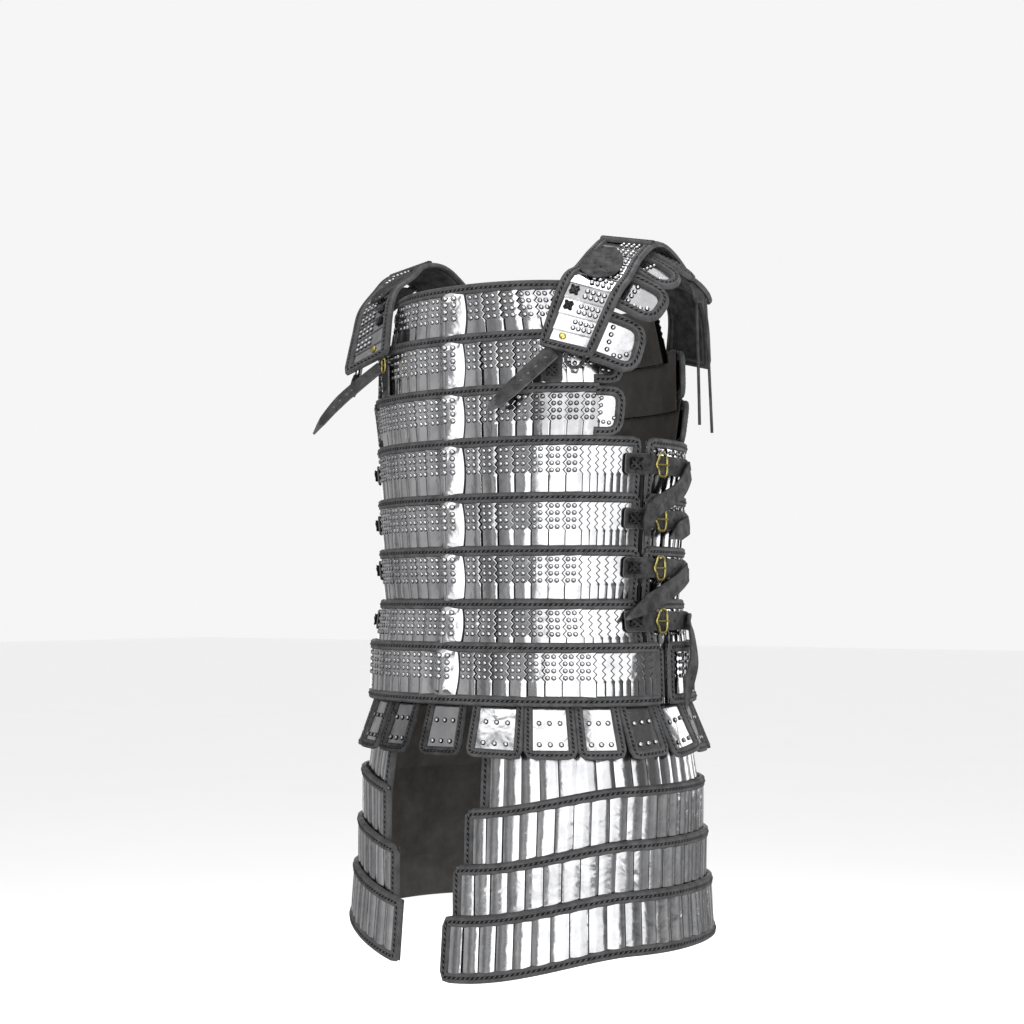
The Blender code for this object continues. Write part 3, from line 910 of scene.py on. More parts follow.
def endPlateParts(start, reach, sign, low):
    # a rounded plate at a row's end, with its own laced border
    spec, (inner, outer) = endPlate, sorted((sign * start, sign * reach))
    plate = makePlate(inner, outer, low, spec["top"], spec["radius"], spec["thick"], spec["outer"],
                      corner=lambda p: p.x * sign > (start + reach) / 2)
    spots = [(sign * (start + x), z) for x, z in spec["headDots"]]
    spots += [(sign * (start + x), low + z) for x, z in spec["footDots"]]
    near, far = sign * (start + 0.001), sign * (reach - spec["borderIn"])
    high, foot = spec["borderTop"], low + spec["borderIn"]
    path = rounded([(near, high), (far, high), (far, foot), (near, foot)], spec["borderRadius"], 6)
    return ([plate] + dotsAt(spots, spec["dotsOut"], spec["dotSize"]),
            layBinding(path[::-sign], spec["border"], spec["borderLift"]))


def buildTorsoRow(side, index):
    row, shape, reach = torsoRows[index], torsoShape(index), rowReach(side, index)
    front, last, ends = side == "front", index == len(torsoRows) - 1, row.get("ends", False)
    tall = shape["head"] - shape["foot"]
    outer = reach - (endPlate["long"] - endPlate["lap"] if ends else 0.001)
    # the front's rows are a little wider near the keel than at the side
    aside, wider = (keel["aside"], lamella["spread"]) if front else (0.0, 0.0)
    master = makeLamella(lamella["pitch"], tall, True, True)
    twin = mirrored(copied(master))
    close = makeLamella(lamella["closePitch"], tall, True, False, lamella["closeLean"])
    steel = [makeKeel(tall)]
    steel[0].location.x = aside
    count = round((outer - keel["wide"] / 2) / lamella["pitch"] + 0.2)
    for sign, shapeOf in ((1, master), (-1, twin)):
        inner = keel["wide"] / 2 - keel["lap"] + sign * aside
        shares = [number / count for number in range(count + 1)]
        places = [inner + (outer - inner) * share * (1 + wider * (1 - share)) for share in shares]
        opened = row.get("open", count) if sign > 0 and front else count
        spans = [(shapeOf, lamella["pitch"], *span) for span in zip(places[:opened], places[1:])]
        closer = round((outer - places[opened]) / lamella["closePitch"])
        stops = np.linspace(places[opened], outer, closer + 1)
        spans += [(close, lamella["closePitch"], *span) for span in zip(stops, stops[1:])]
        for kind, pitch, start, end in spans:
            size = (end - start) / pitch
            place = sign * (start - lamella["lap"] * size)
            # painted shade: a row's dull darkens its lamellae far enough along the +x side
            dull = row.get("dull", 0.0) if place > torso["paintedShadeFrom"] else 0.0
            turn = slightTurn(lamella["closeLoose"] if kind is close else 1.0)
            steel.append(shiftedToneAndShade(copied(kind, (place, 0, 0), turn, (size, 1, 1)),
                              random.uniform(*torso["shade"]) - dull))
    discard(master, twin, close)
    lamellae = len(steel)
    down, edge, foot = torso["bindingDown"], outer - torso["bindingIn"], torso["bindingFoot"] - tall
    if last:
        half = [(0.0, -down), (edge, -down), (edge, down - tall), (0.0, down - tall)]
        paths = [[(-x, z) for x, z in half[::-1]], half]
    elif ends or index == 0:
        paths = [[(-outer - 0.001, -down), (outer + 0.001, -down)]]
    else:
        paths = [[(-edge, foot), (-edge, -down), (edge, -down), (edge, foot)]]
    strips = [layBinding(rounded(path, torso["corner"])) for path in paths]
    for sign in (1, -1) if ends else ():
        low = torsoRows[index + 1]["head"] - row["head"] + 0.001
        parts, border = endPlateParts(outer - 0.003, reach, sign, low)
        steel += parts
        strips.append(border)
    assembled(f"{side}Row{index + 1}", f"{side}_row_{index + 1}",
              lambda piece: wrapWall(piece, shape, 0.0 if front else math.pi),
              ("Plates", "steel", steel), ("Binding", "leather", strips))
    return lamellae


for index in range(len(torsoRows)):
    counts = [buildTorsoRow(side, index) for side in ("front", "back")]
    print("torso row", index + 1, "lamellae in front and behind", counts)

# The tassets: height of each head at the wearer's side, how much lower its front corner hangs,
# the inner face there, and the angle of the left and the right front edge.
tassetRows = [
    {"head": -0.630, "drop": 0.026, "wide": 0.214, "deep": 0.164, "left": 9.0, "right": 28.0},
    {"head": -0.704, "drop": 0.031, "wide": 0.234, "deep": 0.180, "left": 5.0, "right": 25.0},
    {"head": -0.770, "drop": 0.034, "wide": 0.237, "deep": 0.188, "left": 2.5, "right": 18.0},
    {"head": -0.831, "drop": 0.035, "wide": 0.241, "deep": 0.195, "left": 0.5, "right": 14.0},
]
tasset = {"hem": {"head": -0.905, "drop": 0.039, "wide": 0.245, "deep": 0.202}, "back": 173.0,
          "rightLift": 0.008, "pitch": 0.0222, "lap": 0.0035, "inset": 0.003, "bindingIn": 0.0055,
          "shade": (-0.30, -0.04)}


def tassetShape(side, index):
    return rowShape(tassetRows, index, tasset["hem"], tasset["rightLift"] if side == "right" else 0.0)


def buildTassetRow(side, index):
    shape, sign = tassetShape(side, index), 1 if side == "left" else -1
    tall, inset = shape["head"] - shape["foot"], tasset["inset"]
    start, end = arcAt(shape, tassetRows[index][side]), arcAt(shape, tasset["back"])
    master = makeLamella(tasset["pitch"], tall, False, False, lap=tasset["lap"])
    if side == "right":
        master = mirrored(master)
    count = round((end - start - inset * 2) / tasset["pitch"])
    step = (end - start - inset * 2) / count
    steel = [shiftedToneAndShade(copied(master, (sign * (start + inset + number * step), 0, 0), slightTurn()),
                  random.uniform(*tasset["shade"])) for number in range(count)]
    discard(master)
    down, edge, back = torso["bindingDown"], start + tasset["bindingIn"], end - 0.001
    path = [(back, -down), (edge, -down), (edge, torso["bindingFoot"] - tall)]
    if index == len(tassetRows) - 1:
        path[2:] = [(edge, down - tall), (back, down - tall)]
    strip = layBinding(rounded([(sign * x, z) for x, z in path], torso["corner"])[::-sign])
    name = f"tasset{side.capitalize()}Row{index + 1}"
    assembled(name, f"tasset_{side}_row_{index + 1}", lambda piece: wrapWall(piece, shape),
              ("Plates", "steel", steel), ("Binding", "leather", [strip]))
    print(name, count, "lamellae")


for side in ("left", "right"):
    for index in range(len(tassetRows)):
        buildTassetRow(side, index)
print("tassets made")

# Hip tabs: separate plates that hang from behind the hem

tabs = {
    "shape": {"head": -0.606, "foot": -0.667, "wide": 0.218, "deep": 0.168,
              "lowWide": 0.240, "lowDeep": 0.186},
    # corner radius, thickness and how far out the steel and its backing are
    "layers": ((0.008, 0.0012, 0.0016), (0.005, 0.0009, 0.0004)),
    "dotColumns": (-0.42, 0.0, 0.42), "dotRows": (0.30, 0.72), "dotsOut": 0.0026, "dotSize": 0.95,
    "pitch": 18.0, "first": -84.0, "counts": {"front": 9, "back": 11}, "gap": 0.0012, "top": 0.012,
    "tilt": 2.0, "fold": (-1.5, 3.5), "inset": 0.002, "edge": 0.0044, "foot": 0.0045, "corner": 0.006,
    "border": 0.82, "borderLift": 0.0002,
    # tabs that hang askew, or are darkened with painted shade as if hanging back in the shadow, by their
    # number
    "askew": {8: -7.0, 9: -10.0}, "shaded": {2: 0.25, 3: 0.45, 4: 0.35}, "narrow": {3: 0.8, 4: 0.75},
}


def buildTabs(side, before):
    # before is how many tabs come ahead of this side's first one
    shape, turn, top, inset = tabs["shape"], math.pi if before else 0.0, tabs["top"], tabs["inset"]
    tall = shape["head"] - shape["foot"]
    angles, lengths = arcTable(shape)
    steel, leather = [], []
    for number in range(before, before + tabs["counts"][side]):
        near = math.radians(tabs["first"] + number * tabs["pitch"])
        ends = near, near + math.radians(tabs["pitch"])
        near, far = (float(np.interp(angle - turn, angles, lengths)) for angle in ends)
        half = ((far - near) / 2 - tabs["gap"] / 2) * tabs["narrow"].get(number, 1.0)
        plate, backing = (makePlate(inset - half, half - inset, inset - tall, top, *layer,
                                    corner=lambda p: p.z < 0) for layer in tabs["layers"])
        spots = [(x * half, -tall * share) for x in tabs["dotColumns"] for share in tabs["dotRows"]]
        dots = dotsAt(spots, tabs["dotsOut"], tabs["dotSize"])
        edge, foot = half - tabs["edge"], tabs["foot"] - tall
        path = rounded([(-edge, top), (-edge, foot), (edge, foot), (edge, top)], tabs["corner"])
        border = layBinding(path, tabs["border"], tabs["borderLift"])
        tilt = math.radians(random.uniform(-1, 1) * tabs["tilt"] + tabs["askew"].get(number, 0.0))
        fold = math.radians(random.uniform(*tabs["fold"]))
        for parts, group in (([plate] + dots, steel), ([border, backing], leather)):
            # shaded tabs get painted shade
            piece = shiftedToneAndShade(joined("tab", parts), -tabs["shaded"].get(number, 0.0))
            piece.rotation_euler = (-fold, tilt, 0)
            piece.location = ((near + far) / 2, 0, 0)
            bpy.context.view_layer.update()
            group.append(piece)
    assembled(f"hipTabs{side.capitalize()}", f"hip_tabs_{side}", lambda piece: wrapWall(piece, shape, turn),
              ("Plates", "steel", steel), ("Borders", "leather", leather))


buildTabs("front", 0)
buildTabs("back", tabs["counts"]["front"])
print("hip tabs made")

# Shoulder straps, from their front ends to their back ends: neck side and arm side of the inner face

strapSections = {
    "left": [
        ((0.120, -0.157, -0.156), (0.192, -0.149, -0.176)),
        ((0.138, -0.134, -0.074), (0.207, -0.110, -0.097)),
        ((0.134, -0.096, -0.052), (0.209, -0.084, -0.071)),
        ((0.130, -0.053, -0.022), (0.202, -0.044, -0.038)),
        ((0.124, -0.009, 0.000), (0.199, -0.001, -0.014)),
        ((0.124, 0.030, -0.002), (0.199, 0.038, -0.017)),
        ((0.128, 0.075, -0.026), (0.203, 0.078, -0.044)),
        ((0.138, 0.134, -0.070), (0.207, 0.113, -0.090)),
        ((0.122, 0.160, -0.140), (0.194, 0.150, -0.158)),
    ],
    "right": [
        ((-0.120, -0.157, -0.148), (-0.199, -0.149, -0.170)),
        ((-0.128, -0.139, -0.089), (-0.210, -0.118, -0.114)),
        ((-0.142, -0.109, -0.055), (-0.221, -0.092, -0.076)),
        ((-0.153, -0.060, -0.029), (-0.230, -0.051, -0.043)),
        ((-0.160, -0.020, -0.006), (-0.235, -0.013, -0.017)),
        ((-0.160, 0.026, -0.003), (-0.234, 0.031, -0.015)),
        ((-0.156, 0.070, -0.025), (-0.229, 0.073, -0.041)),
        ((-0.146, 0.132, -0.070), (-0.215, 0.113, -0.091)),
        ((-0.122, 0.160, -0.140), (-0.196, 0.151, -0.160)),
    ],
}
strap = {
    "wide": 0.0755, "plain": 0.027, "ridge": 0.222, "pitch": 0.0211, "edge": 0.0048, "under": 0.0014,
    "thick": 0.0010, "out": 0.0016, "lap": 0.001, "lean": 0.0014, "backingIn": 0.002,
    # a painted shadow line below each plate
    "lineLow": 0.0020, "lineHigh": 0.0009, "lineThick": 0.0006, "lineOut": 0.0010, "lineShade": -0.25,
    "columns": 4, "columnStep": 0.0074, "columnsIn": 0.0165, "rows": 2, "rowStep": 0.0080, "rowsUp": 0.0055,
    "dotsOut": 0.0024, "crosses": (1, 2), "crossAt": 0.27, "crossOut": 0.0034, "rivetAt": 0.36,
    "rivetUp": 0.019, "rivetOut": 0.0030, "ridgeSize": 0.9, "ridgeLift": 0.0036,
}
rivet = {"corners": 14, "radius": 0.0045, "rings": ((0.0006, 1.0), (0.0007, 0.82), (0.0004, 0.5))}
patch = {
    "along": 0.148, "aside": 0.0022, "out": 0.0062, "turn": -0.12, "corners": 36, "long": 0.088,
    "wide": 0.056, "thick": 0.0016, "soft": 0.0006, "wearAndShade": -0.25,
    "stitches": ((-0.008, -0.004), (0.002, -0.014), (0.004, 0.010)), "stitchTurn": 0.9, "stitchSize": 0.7,
}


def smoothed(points, fine):
    # a smooth course through points, each stretch cut into fine steps
    points = np.array(points, float)
    padded = np.vstack([2 * points[0] - points[1], points, 2 * points[-1] - points[-2]])
    t = np.linspace(0, len(points) - 1, (len(points) - 1) * fine + 1)
    near = np.minimum(t.astype(int), len(points) - 2)
    share = (t - near)[:, None]
    a, b, c, d = (padded[near + k] for k in range(4))
    return 0.5 * (2 * b + (c - a) * share + (2 * a - 5 * b + 4 * c - d) * share ** 2
                  + (3 * b - a - 3 * c + d) * share ** 3)


def strapCourse(side):
    neck, arm = (smoothed([section[k] for section in strapSections[side]], 16) for k in (0, 1))
    middle = (neck + arm) / 2
    out = unit(np.cross(arm - neck, np.gradient(middle, axis=0)))
    return stepLengths(middle), neck, arm, out if side == "left" else -out


def interpolated(at, lengths, values):
    return np.stack([np.interp(at, lengths, values[:, k]) for k in range(3)], axis=1)


def wrapStrap(piece, side):
    # x runs from the neck side to the arm side, z from the front end up and over to the back end
    lengths, *lines = strapCourse(side)

    def bend(x, y, z):
        start, end, way = (interpolated(z, lengths, line) for line in lines)
        return (start + (end - start) * (x / strap["wide"])[:, None] - way * y[:, None]).T

    reshape(piece, bend)
    if side == "right":
        flipFaces(piece)


def strapPlate(low, high, dotted, lift):
    # a lamella across the strap, its lower edge over the next one down
    spec, left, right = strap, strap["edge"], strap["wide"] - strap["edge"]
    # a thin strip darkened as painted shadow under the plate's lower edge
    line = makePlate(left, right, low - spec["lineLow"], low - spec["lineHigh"], 0, spec["lineThick"],
                     spec["lineOut"])
    parts = [makePlate(left, right, low - spec["lap"], high, 0, spec["thick"], spec["out"]),
             tinted(line, spec["lineShade"])]
    if dotted:
        columns = [spec["wide"] - spec["columnsIn"] - k * spec["columnStep"] for k in range(spec["columns"])]
        rows = [low + spec["rowsUp"] + k * spec["rowStep"] for k in range(spec["rows"])]
        parts += dotsAt([(x, z) for x in columns for z in rows], spec["dotsOut"])
    piece = joined("plate", parts)
    slope = spec["lean"] / (high - low)
    reshape(piece, lambda x, y, z: (x, y + (z - high) * slope - lift, z))
    return piece


def makePatch(place, lift):
    # a smooth oval of leather stitched over the neck-side half
    spec = patch
    bpy.ops.mesh.primitive_circle_add(vertices=spec["corners"], radius=0.5, fill_type="TRIFAN",
                                      rotation=upright)
    piece = justMade("patch", (spec["wide"], spec["long"], 1))
    thicken(piece, spec["thick"])
    softenEdges(piece, spec["soft"], 2, 30)
    tinted(piece, spec["wearAndShade"])
    turn, size = (0, spec["stitchTurn"], 0), (spec["stitchSize"], 1, spec["stitchSize"])
    piece = joined("patch", [piece] + [copied(slit, (x, -0.0001 - spec["thick"], z), turn, size)
                                       for x, z in spec["stitches"]])
    piece.rotation_euler = (0, spec["turn"], 0)
    piece.location = (spec["aside"] + spec["wide"] / 2, -spec["out"] - lift, place)
    return piece


def buildStrap(side):
    total, ridge = strapCourse(side)[0][-1], strap["ridge"]
    wide, edge, plain = strap["wide"], strap["edge"], strap["plain"]
    steel, leather, brass = [], [], []
    for start, lift, sign in ((0.0, 0.0, 1), (total, strap["under"], -1)):
        steel.append(strapPlate(*sorted((start, start + sign * plain)), False, lift))
        long = abs(ridge - start) - plain
        count = round(long / strap["pitch"])
        step = long / count
        for number in range(count):
            low = start + sign * (plain + number * step)
            low, high = sorted((low, low + sign * step))
            steel.append(strapPlate(low, high, True, lift))
            if number in strap["crosses"]:
                place = (wide * strap["crossAt"], -strap["crossOut"] - lift, (low + high) / 2)
                leather.append(copied(crossMaster, place))
        brass.append(makeKnob(rivet["corners"], rivet["radius"], rivet["rings"]))
        brass[-1].location = (wide * strap["rivetAt"], -strap["rivetOut"] - lift,
                              start + sign * strap["rivetUp"])
        leather.append(makePatch(start + sign * patch["along"], lift))
        backing = makePlate(strap["backingIn"], wide - strap["backingIn"], *sorted((start, ridge)), 0,
                            strap["thick"], 0.0002)
        leather.append(tinted(backing, -0.1))
    high, right = total - edge, wide - edge
    path = [(wide / 2, high), (edge, high), (edge, edge), (right, edge), (right, high), (wide / 2, high)]
    leather.append(layBinding(rounded(path, 0.004)))
    path = [(0.001, ridge), (wide - 0.001, ridge)]
    leather.append(layBinding(path, strap["ridgeSize"], strap["ridgeLift"]))
    assembled(f"strap{side.capitalize()}", f"shoulder_strap_{side}", lambda piece: wrapStrap(piece, side),
              ("Plates", "steel", steel), ("Leather", "leather", leather), ("Rivets", "brass", brass))


buildStrap("left")
buildStrap("right")
print("shoulder straps made")

# D-shaped plates under each strap's outer edge: where along the strap's sections, which way they reach
# on the left, and how long the straight side is

shoulderPlates = [
    {"station": 0.42, "way": (0.62, 0.70, -0.32), "side": 0.068},
    {"station": 1.75, "way": (0.80, 0.40, -0.50), "side": 0.062},
    {"station": 3.20, "way": (0.82, 0.10, -0.57), "side": 0.053},
    {"station": 4.56, "way": (0.82, 0.06, -0.57), "side": 0.046},
    {"station": 5.78, "way": (0.82, 0.02, -0.57), "side": 0.046},
]
shoulderPlate = {
    "reach": 0.062, "tuck": 0.010, "sink": 0.0078, "radius": 0.024, "border": 1.02, "edge": 0.0050,
    "bow": 0.010, "dotsOut": 0.0012,
    # how much smaller the steel and its backing are, their thickness and how far out they lie
    "layers": ((0.002, 0.0011, 0.0004), (0.003, 0.0010, -0.0012)),
    # each dot's distance out, and its share of half the straight side
    "dots": ((0.0175, -0.42), (0.0175, -0.12), (0.0175, 0.18), (0.0175, 0.48),
             (0.028, -0.55), (0.036, -0.50), (0.0435, -0.34)),
}


def strapFrames(side):
    sections = strapSections[side]
    frames = []
    for index, (neck, arm) in enumerate(sections):
        before, after = sections[max(index - 1, 0)], sections[min(index + 1, len(sections) - 1)]
        way = Vector(after[0]) + Vector(after[1]) - Vector(before[0]) - Vector(before[1])
        out = (Vector(arm) - Vector(neck)).cross(way).normalized()
        frames.append((Vector(neck), Vector(arm), out if side == "left" else -out))
    return frames


def setFrame(piece, origin, across, inward, up):
    # moves a flat piece so that its x, y and z run along the three ways
    columns = np.array([across, inward, up], float)
    reshape(piece, lambda *points: (np.stack(points, axis=1) @ columns + np.array(origin)).T)
    if Vector(across).cross(Vector(inward)).dot(Vector(up)) < 0:
        flipFaces(piece)


def buildShoulderPlate(side, number):
    spec, plate, sign = shoulderPlate, shoulderPlates[number], 1 if side == "left" else -1
    frames, near = strapFrames(side), int(plate["station"])
    neck, arm, out = (a.lerp(b, plate["station"] - near) for a, b in zip(frames[near], frames[near + 1]))
    root = arm + (neck - arm).normalized() * spec["tuck"] - out.normalized() * spec["sink"]
    way = Vector((sign * plate["way"][0], *plate["way"][1:])).normalized()
    up = frames[near + 1][1] - frames[near][1]
    up = (up - way * up.dot(way)).normalized()
    inward = up.cross(way) * sign
    reach, half, radius = spec["reach"], plate["side"] / 2, spec["radius"]
    steel, backing = (makePlate(0.0, reach - inset, inset - half, half - inset, radius - 0.002 - inset,
                                thick, outer, lambda p: p.x > 0.01, 0.008)
                      for inset, thick, outer in spec["layers"])
    edge = spec["edge"] * spec["border"]
    low, far = edge - half, reach - edge
    path = rounded([(0.0, low), (far, low), (far, -low), (0.0, -low)], radius - 0.003, 8)[::-1]

    def hang(piece):
        reshape(piece, lambda x, y, z: (x, y + (((x - reach / 2) / reach) ** 2 + (z / (4 * half)) ** 2)
                                        * spec["bow"], z))
        setFrame(piece, root, way, inward, up)

    dots = dotsAt([(x, share * half) for x, share in spec["dots"]], spec["dotsOut"])
    assembled(f"shoulderPlate{side.capitalize()}{number + 1}", f"shoulder_plate_{side}_{number + 1}", hang,
              ("Steel", "steel", [steel] + dots),
              ("Border", "leather", [layBinding(path, spec["border"]), tinted(backing, -0.1)]))


for side in ("left", "right"):
    for number in range(len(shoulderPlates)):
        buildShoulderPlate(side, number)
print("shoulder plates made")


# Leather bands: tongues, a tab and side straps

def bandCourse(middles, widths, normals, fine=6):
    # the band's middle line with its width and its ways across and out, cut fine
    line = smoothed(middles, fine)
    steps = np.linspace(0, len(middles) - 1, len(line))
    wide = np.interp(steps, range(len(widths)), widths)
    face = interpolated(steps, np.arange(len(normals)), np.array(normals, float))
    ways = unit(np.gradient(line, axis=0))
    across, before = [], None
    for way, normal in zip(ways, face):
        aside = np.cross(normal, way)
        if before is None or np.linalg.norm(aside) > 0.5:
            aside = aside / np.linalg.norm(aside)
            before = -aside if before is not None and aside @ before < 0 else aside
        across.append(before)
    out = unit(face - ways * np.sum(face * ways, axis=1)[:, None])
    return stepLengths(line), line, np.array(across), out, wide


def makeBand(course, thick):
    _, line, across, _, wide = course
    bpy.ops.mesh.primitive_grid_add(x_subdivisions=len(line) - 1, y_subdivisions=4, size=1)
    piece = justMade("band")

    def bend(x, y, z):
        index = np.round((x + 0.5) * (len(line) - 1)).astype(int)
        return (line[index] + across[index] * (y * wide[index])[:, None]).T

    reshape(piece, bend)
    thicken(piece, thick, 0.0)
    softenEdges(piece, thick * 0.28)
    return tinted(facesOut(piece), 0.5, lambda face: face.area < 0.9e-5)


def slitOnBand(course, at, thick, turn, size):
    # a slit in the band's outer face, some way along it
    lengths, line, across, out, _ = course
    index = int(np.argmin(np.abs(lengths - at)))
    piece = joined("slit", [copied(slit, turn=(0, turn, 0), size=size)])
    up = np.cross(out[index], across[index])
    setFrame(piece, line[index] + out[index] * (thick / 2), across[index], -out[index], up)
    return piece


# middles and widths
tongue = {
    "thick": 0.0025, "slits": 4, "slitStep": 0.0145, "slitsFrom": 0.056,
    "left": [((0.138, -0.1530, -0.163), 0.0225), ((0.116, -0.1640, -0.185), 0.0225),
             ((0.093, -0.1740, -0.207), 0.0215), ((0.073, -0.1800, -0.2245), 0.017),
             ((0.059, -0.1830, -0.236), 0.003)],
    "right": [((-0.138, -0.1520, -0.163), 0.016), ((-0.174, -0.1560, -0.186), 0.017),
              ((-0.208, -0.1540, -0.206), 0.017), ((-0.240, -0.1490, -0.228), 0.013),
              ((-0.262, -0.1430, -0.245), 0.003)],
}


def buildTongue(side):
    middles, widths = zip(*tongue[side])
    course = bandCourse(middles, widths, [(0, -1, 0)] * len(middles), 8)
    parts = [makeBand(course, tongue["thick"])]
    for number in range(tongue["slits"]):
        at = course[0][-1] - tongue["slitsFrom"] - number * tongue["slitStep"]
        parts.append(tinted(slitOnBand(course, at, tongue["thick"], 0.4, (1.1, 1, 0.9)), 1.0))
    finished(joined(f"tongue{side.capitalize()}", parts), "leather", f"shoulder_tongue_{side}")


buildTongue("left")
buildTongue("right")

# the tab under the left shoulder plates that the laces hang from: middles, widths and outward ways
laceTab = (
    ((0.1860, 0.0405, -0.0285), (0.2050, 0.0410, -0.0405), (0.2220, 0.0415, -0.0530),
     (0.2340, 0.0420, -0.0680), (0.2405, 0.0420, -0.0850)),
    (0.018, 0.018, 0.018, 0.018, 0.017),
    ((0.57, 0.0, 0.82), (0.6, 0.0, 0.8), (0.7, 0.0, 0.7), (0.85, -0.2, 0.4), (0.86, -0.5, 0.1)),
)
finished(joined("laceTab", [makeBand(bandCourse(*laceTab), tongue["thick"])]), "leather")

# Each side strap's height, and its loose end's course as angles and how far it hangs below
sideStraps = [
    {"height": -0.301, "left": ((91, 0.032), (75, 0.060), (72, 0.098)), "right": ((92, 0.012), (86, 0.020))},
    {"height": -0.370, "left": ((92, 0.014), (86, 0.024)), "right": ((92, 0.012), (87, 0.022))},
    {"height": -0.432, "left": ((90, 0.022), (74, 0.045), (62, 0.065)), "right": ((92, 0.010), (84, 0.016))},
    {"height": -0.499, "left": ((94, 0.048), (90, 0.080), (88, 0.112)), "right": ((92, 0.012), (86, 0.022))},
]
sideStrap = {
    "wide": 0.024, "thick": 0.0028, "out": 0.0100, "looseOut": 0.0205, "tip": 0.003, "slits": (0.30, 0.42),
    "near": 69.0, "far": 101.0, "buckleAt": 82.0, "baseWide": 0.034, "baseTall": 0.0265, "firstRow": 3,
}
base = {"radius": 0.005, "thick": 0.0022, "soft": 0.0006, "out": 0.0096, "edgeWear": 0.7}


def torsoSize(height, outward):
    # half-width and half-depth of the torso at a height, some way out from the inner face
    height = max(height, torso["hem"]["head"])
    sizes = []
    for shape in map(torsoShape, range(len(torsoRows))):
        if shape["foot"] <= height <= shape["head"]:
            share = (shape["head"] - height) / (shape["head"] - shape["foot"])
            sizes.append([shape[top] + (shape[low] - shape[top]) * share
                          for top, low in (("wide", "lowWide"), ("deep", "lowDeep"))])
    return [size + outward for size in max(sizes)]


def layBase(wide, tall, details, row, along, height):
    # a leather base, laced down on one of the torso's rows
    shape = torsoShape(row)
    piece = makePlate(-wide / 2, wide / 2, -tall / 2, tall / 2, base["radius"], base["thick"])
    softenEdges(piece, base["soft"])
    tinted(piece, base["edgeWear"], lambda face: abs(face.normal.y) < 0.95)
    piece = joined("base", [piece, details])
    if along < 0:
        mirrored(piece)
    reshape(piece, lambda x, y, z: (x + along, y - base["out"], z + (height - shape["head"])))
    wrapWall(piece, shape)
    return piece


def buildSideStrap(side, number):
    spec, facts, sign = sideStraps[number], sideStrap, 1 if side == "left" else -1
    far, out, loose = facts["far"], facts["out"], facts["looseOut"]
    # degrees from the front, how far below the strap's height, how far out
    path = [(facts["near"] + step, 0.0, out) for step in (0, 9, 18, 27)]
    path += [(far, 0.0, out + 0.0005), (far + 2, 0.003, loose - 0.007), (far, 0.006, loose - 0.003)]
    path += [(degrees, drop, loose) for degrees, drop in spec[side]]
    middles, normals = [], []
    for degrees, drop, outward in path:
        size = torsoSize(spec["height"] - drop, outward)
        here, ahead = (ovalXY(*size, math.radians(degrees) + more) for more in (0, 0.02))
        normal = Vector((ahead[1] - here[1], here[0] - ahead[0], 0)).normalized()
        middles.append((sign * here[0], here[1], spec["height"] - drop))
        normals.append((sign * normal.x, normal.y, 0))
    course = bandCourse(middles, [facts["wide"]] * (len(path) - 1) + [facts["tip"]], normals)
    parts = [makeBand(course, facts["thick"])]
    parts += [slitOnBand(course, course[0][-1] * share, facts["thick"], 0, (1.3, 1, 0.8))
              for share in facts["slits"]]
    row = number + facts["firstRow"]
    lacing = copied(crossMaster, (-0.003, -0.0026, 0), size=(1.65, 1, 1.40))
    parts.append(layBase(facts["baseWide"], facts["baseTall"], lacing, row,
                         sign * (arcAt(torsoShape(row), facts["near"]) + 0.002), spec["height"]))
    name = f"sideStrap{side.capitalize()}{number + 1}"
    finished(shiftedToneAndShade(joined(name, parts), -0.08), "leather", f"side_strap_{side}_{number + 1}")


buckle = {"wide": 0.020, "tall": 0.030, "wire": 0.0016, "clear": 0.0010}


def makeBuckle(lobed):
    # a wire frame, drawn in at the middle of its front side if lobed, with a pin on its back bar
    thin = 0.16
    bpy.ops.mesh.primitive_torus_add(major_segments=28, minor_segments=8, major_radius=1, minor_radius=thin,
                                     rotation=upright)
    frame = justMade("frame")
    wide, tall, wire = buckle["wide"] / 2, buckle["tall"] / 2, buckle["wire"]

    def form(x, y, z):
        angle, radial = np.arctan2(z, x), np.hypot(x, z) - 1
        c, s = np.cos(angle), np.sin(angle)
        across, up = wide * np.sign(c) * np.abs(c) ** 0.55, tall * np.sign(s) * np.abs(s) ** 0.7
        if lobed:
            across = np.where(c < 0, across * (0.62 + 0.46 * np.exp(-(s / 0.24) ** 2)), across)
        k = wire / thin
        return across + radial * c * k, y * k, up + radial * s * k

    reshape(frame, form)
    bpy.ops.mesh.primitive_cylinder_add(vertices=8, radius=wire * 0.75, depth=buckle["wide"] * 1.02,
                                        rotation=(0, math.radians(90), 0), location=(-0.0004, -wire * 1.1, 0))
    pin = justMade("pin")
    bpy.ops.mesh.primitive_torus_add(major_segments=12, minor_segments=6, major_radius=wire * 1.35,
                                     minor_radius=wire * 0.6, location=(wide, 0, 0))
    return joined("buckle", [frame, pin, justMade("loop")])


ring = {"radius": 0.0112, "thick": 0.0022, "turn": 22}


def makeRing():
    # a ring wound in leather
    bpy.ops.mesh.primitive_torus_add(major_segments=32, minor_segments=10, major_radius=ring["radius"],
                                     minor_radius=ring["thick"], rotation=upright)

    def pale(face):
        return int(math.degrees(math.atan2(face.center.z, face.center.x)) // ring["turn"]) % 2

    return tinted(justMade("ring"), 0.15, pale)


def hangBuckle(piece, node, middle, out, look="brass"):
    out = Vector(out).normalized()
    across = Vector((0, 0, 1)).cross(out).normalized()
    setFrame(piece, middle, across, -out, out.cross(across))
    finished(piece, look, node, smooth=60)


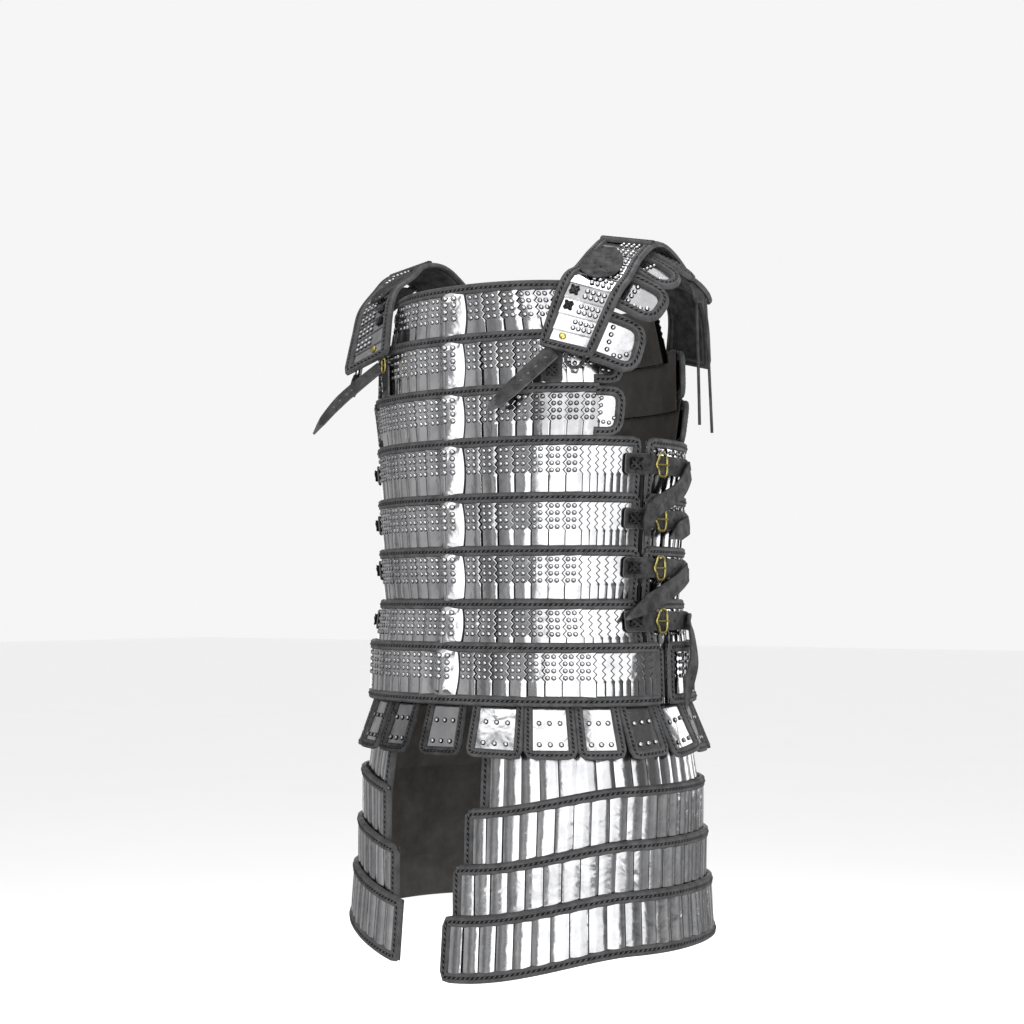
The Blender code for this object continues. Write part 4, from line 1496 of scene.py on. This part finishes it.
for side, sign in (("left", 1), ("right", -1)):
    for number, spec in enumerate(sideStraps):
        buildSideStrap(side, number)
        outward = sideStrap["out"] + sideStrap["thick"] / 2 + buckle["wire"] + buckle["clear"]
        size, angle = torsoSize(spec["height"], outward), math.radians(sideStrap["buckleAt"])
        (x, y), (aheadX, aheadY) = ovalXY(*size, angle), ovalXY(*size, angle - 0.05)
        hangBuckle(makeBuckle(True), f"side_buckle_{side}_{number + 1}",
                   (sign * x, y, spec["height"]), (sign * (y - aheadY), -(x - aheadX), 0))

shoulders = {
    # middle and outward way
    "ring": ((0.164, -0.144, -0.1735), (0.1155, -0.144, 0)),
    "buckle": ((-0.126, -0.160, -0.1625), (-0.0931, -0.161, 0)), "buckleSize": 0.6,
    # width, height and place along the wall
    "tabTall": 0.042, "tabHeight": -0.179, "tabRow": 1,
    "left": (0.026, 0.126), "right": (0.020, -0.140),
}
hangBuckle(makeRing(), "shoulder_buckle_left", *shoulders["ring"], "leather")
small = makeBuckle(False)
reshape(small, lambda *points: [line * shoulders["buckleSize"] for line in points])
hangBuckle(small, "shoulder_buckle_right", *shoulders["buckle"])
for side, details in (("left", copied(crossMaster, (0, -0.0010, -0.0065), size=(1.25, 1, 1.25))),
                      ("right", copied(slit, (0, -0.0001, -0.011), size=(1.7, 1, 1.4)))):
    wide, place = shoulders[side]
    tab = layBase(wide, shoulders["tabTall"], details, shoulders["tabRow"], place, shoulders["tabHeight"])
    finished(joined(f"shoulderTab{side.capitalize()}", [tab]), "leather")
print("bands and buckles made")

# Suede behind the lamellae: one strip along each row, sewn into one lining for each part

lining = {"thick": 0.0012, "behind": 0.0006, "cell": 0.018, "endsIn": 0.022, "in": 0.003, "tassetIn": 0.002}


def buildLining(name, strips):
    # strips are given as their wall, their two ends along it, and a turn
    parts, area = [], 0.0
    for shape, start, end, turn in strips:
        tall = shape["head"] - shape["foot"]
        area += (end - start) * tall
        parts.append(makePlate(start, end, 0.001 - tall, -0.001, 0, lining["thick"],
                               -lining["behind"] - lining["thick"], cell=lining["cell"]))
        wrapWall(parts[-1], shape, turn)
    piece = joined(name, parts)
    finished(piece, "suede")
    longest = max(end - start for _, start, end, _ in strips)
    area / longest
    print(name, "flat", round(longest, 3), "x", round(area / longest, 3))


for side, turn in (("front", 0.0), ("back", math.pi)):
    reaches = [rowReach(side, index) - lining["endsIn" if row.get("ends") else "in"]
               for index, row in enumerate(torsoRows)]
    buildLining(f"lining{side.capitalize()}",
                [(torsoShape(index), -reach, reach, turn) for index, reach in enumerate(reaches)])
for side, sign in (("left", 1), ("right", -1)):
    strips = []
    for index, row in enumerate(tassetRows):
        shape = tassetShape(side, index)
        near = arcAt(shape, row[side]) + lining["tassetIn"]
        far = arcAt(shape, tasset["back"]) - lining["tassetIn"]
        strips.append((shape, *sorted((sign * near, sign * far)), 0.0))
    buildLining(f"liningTasset{side.capitalize()}", strips)
print("linings made")

discard(*masters)
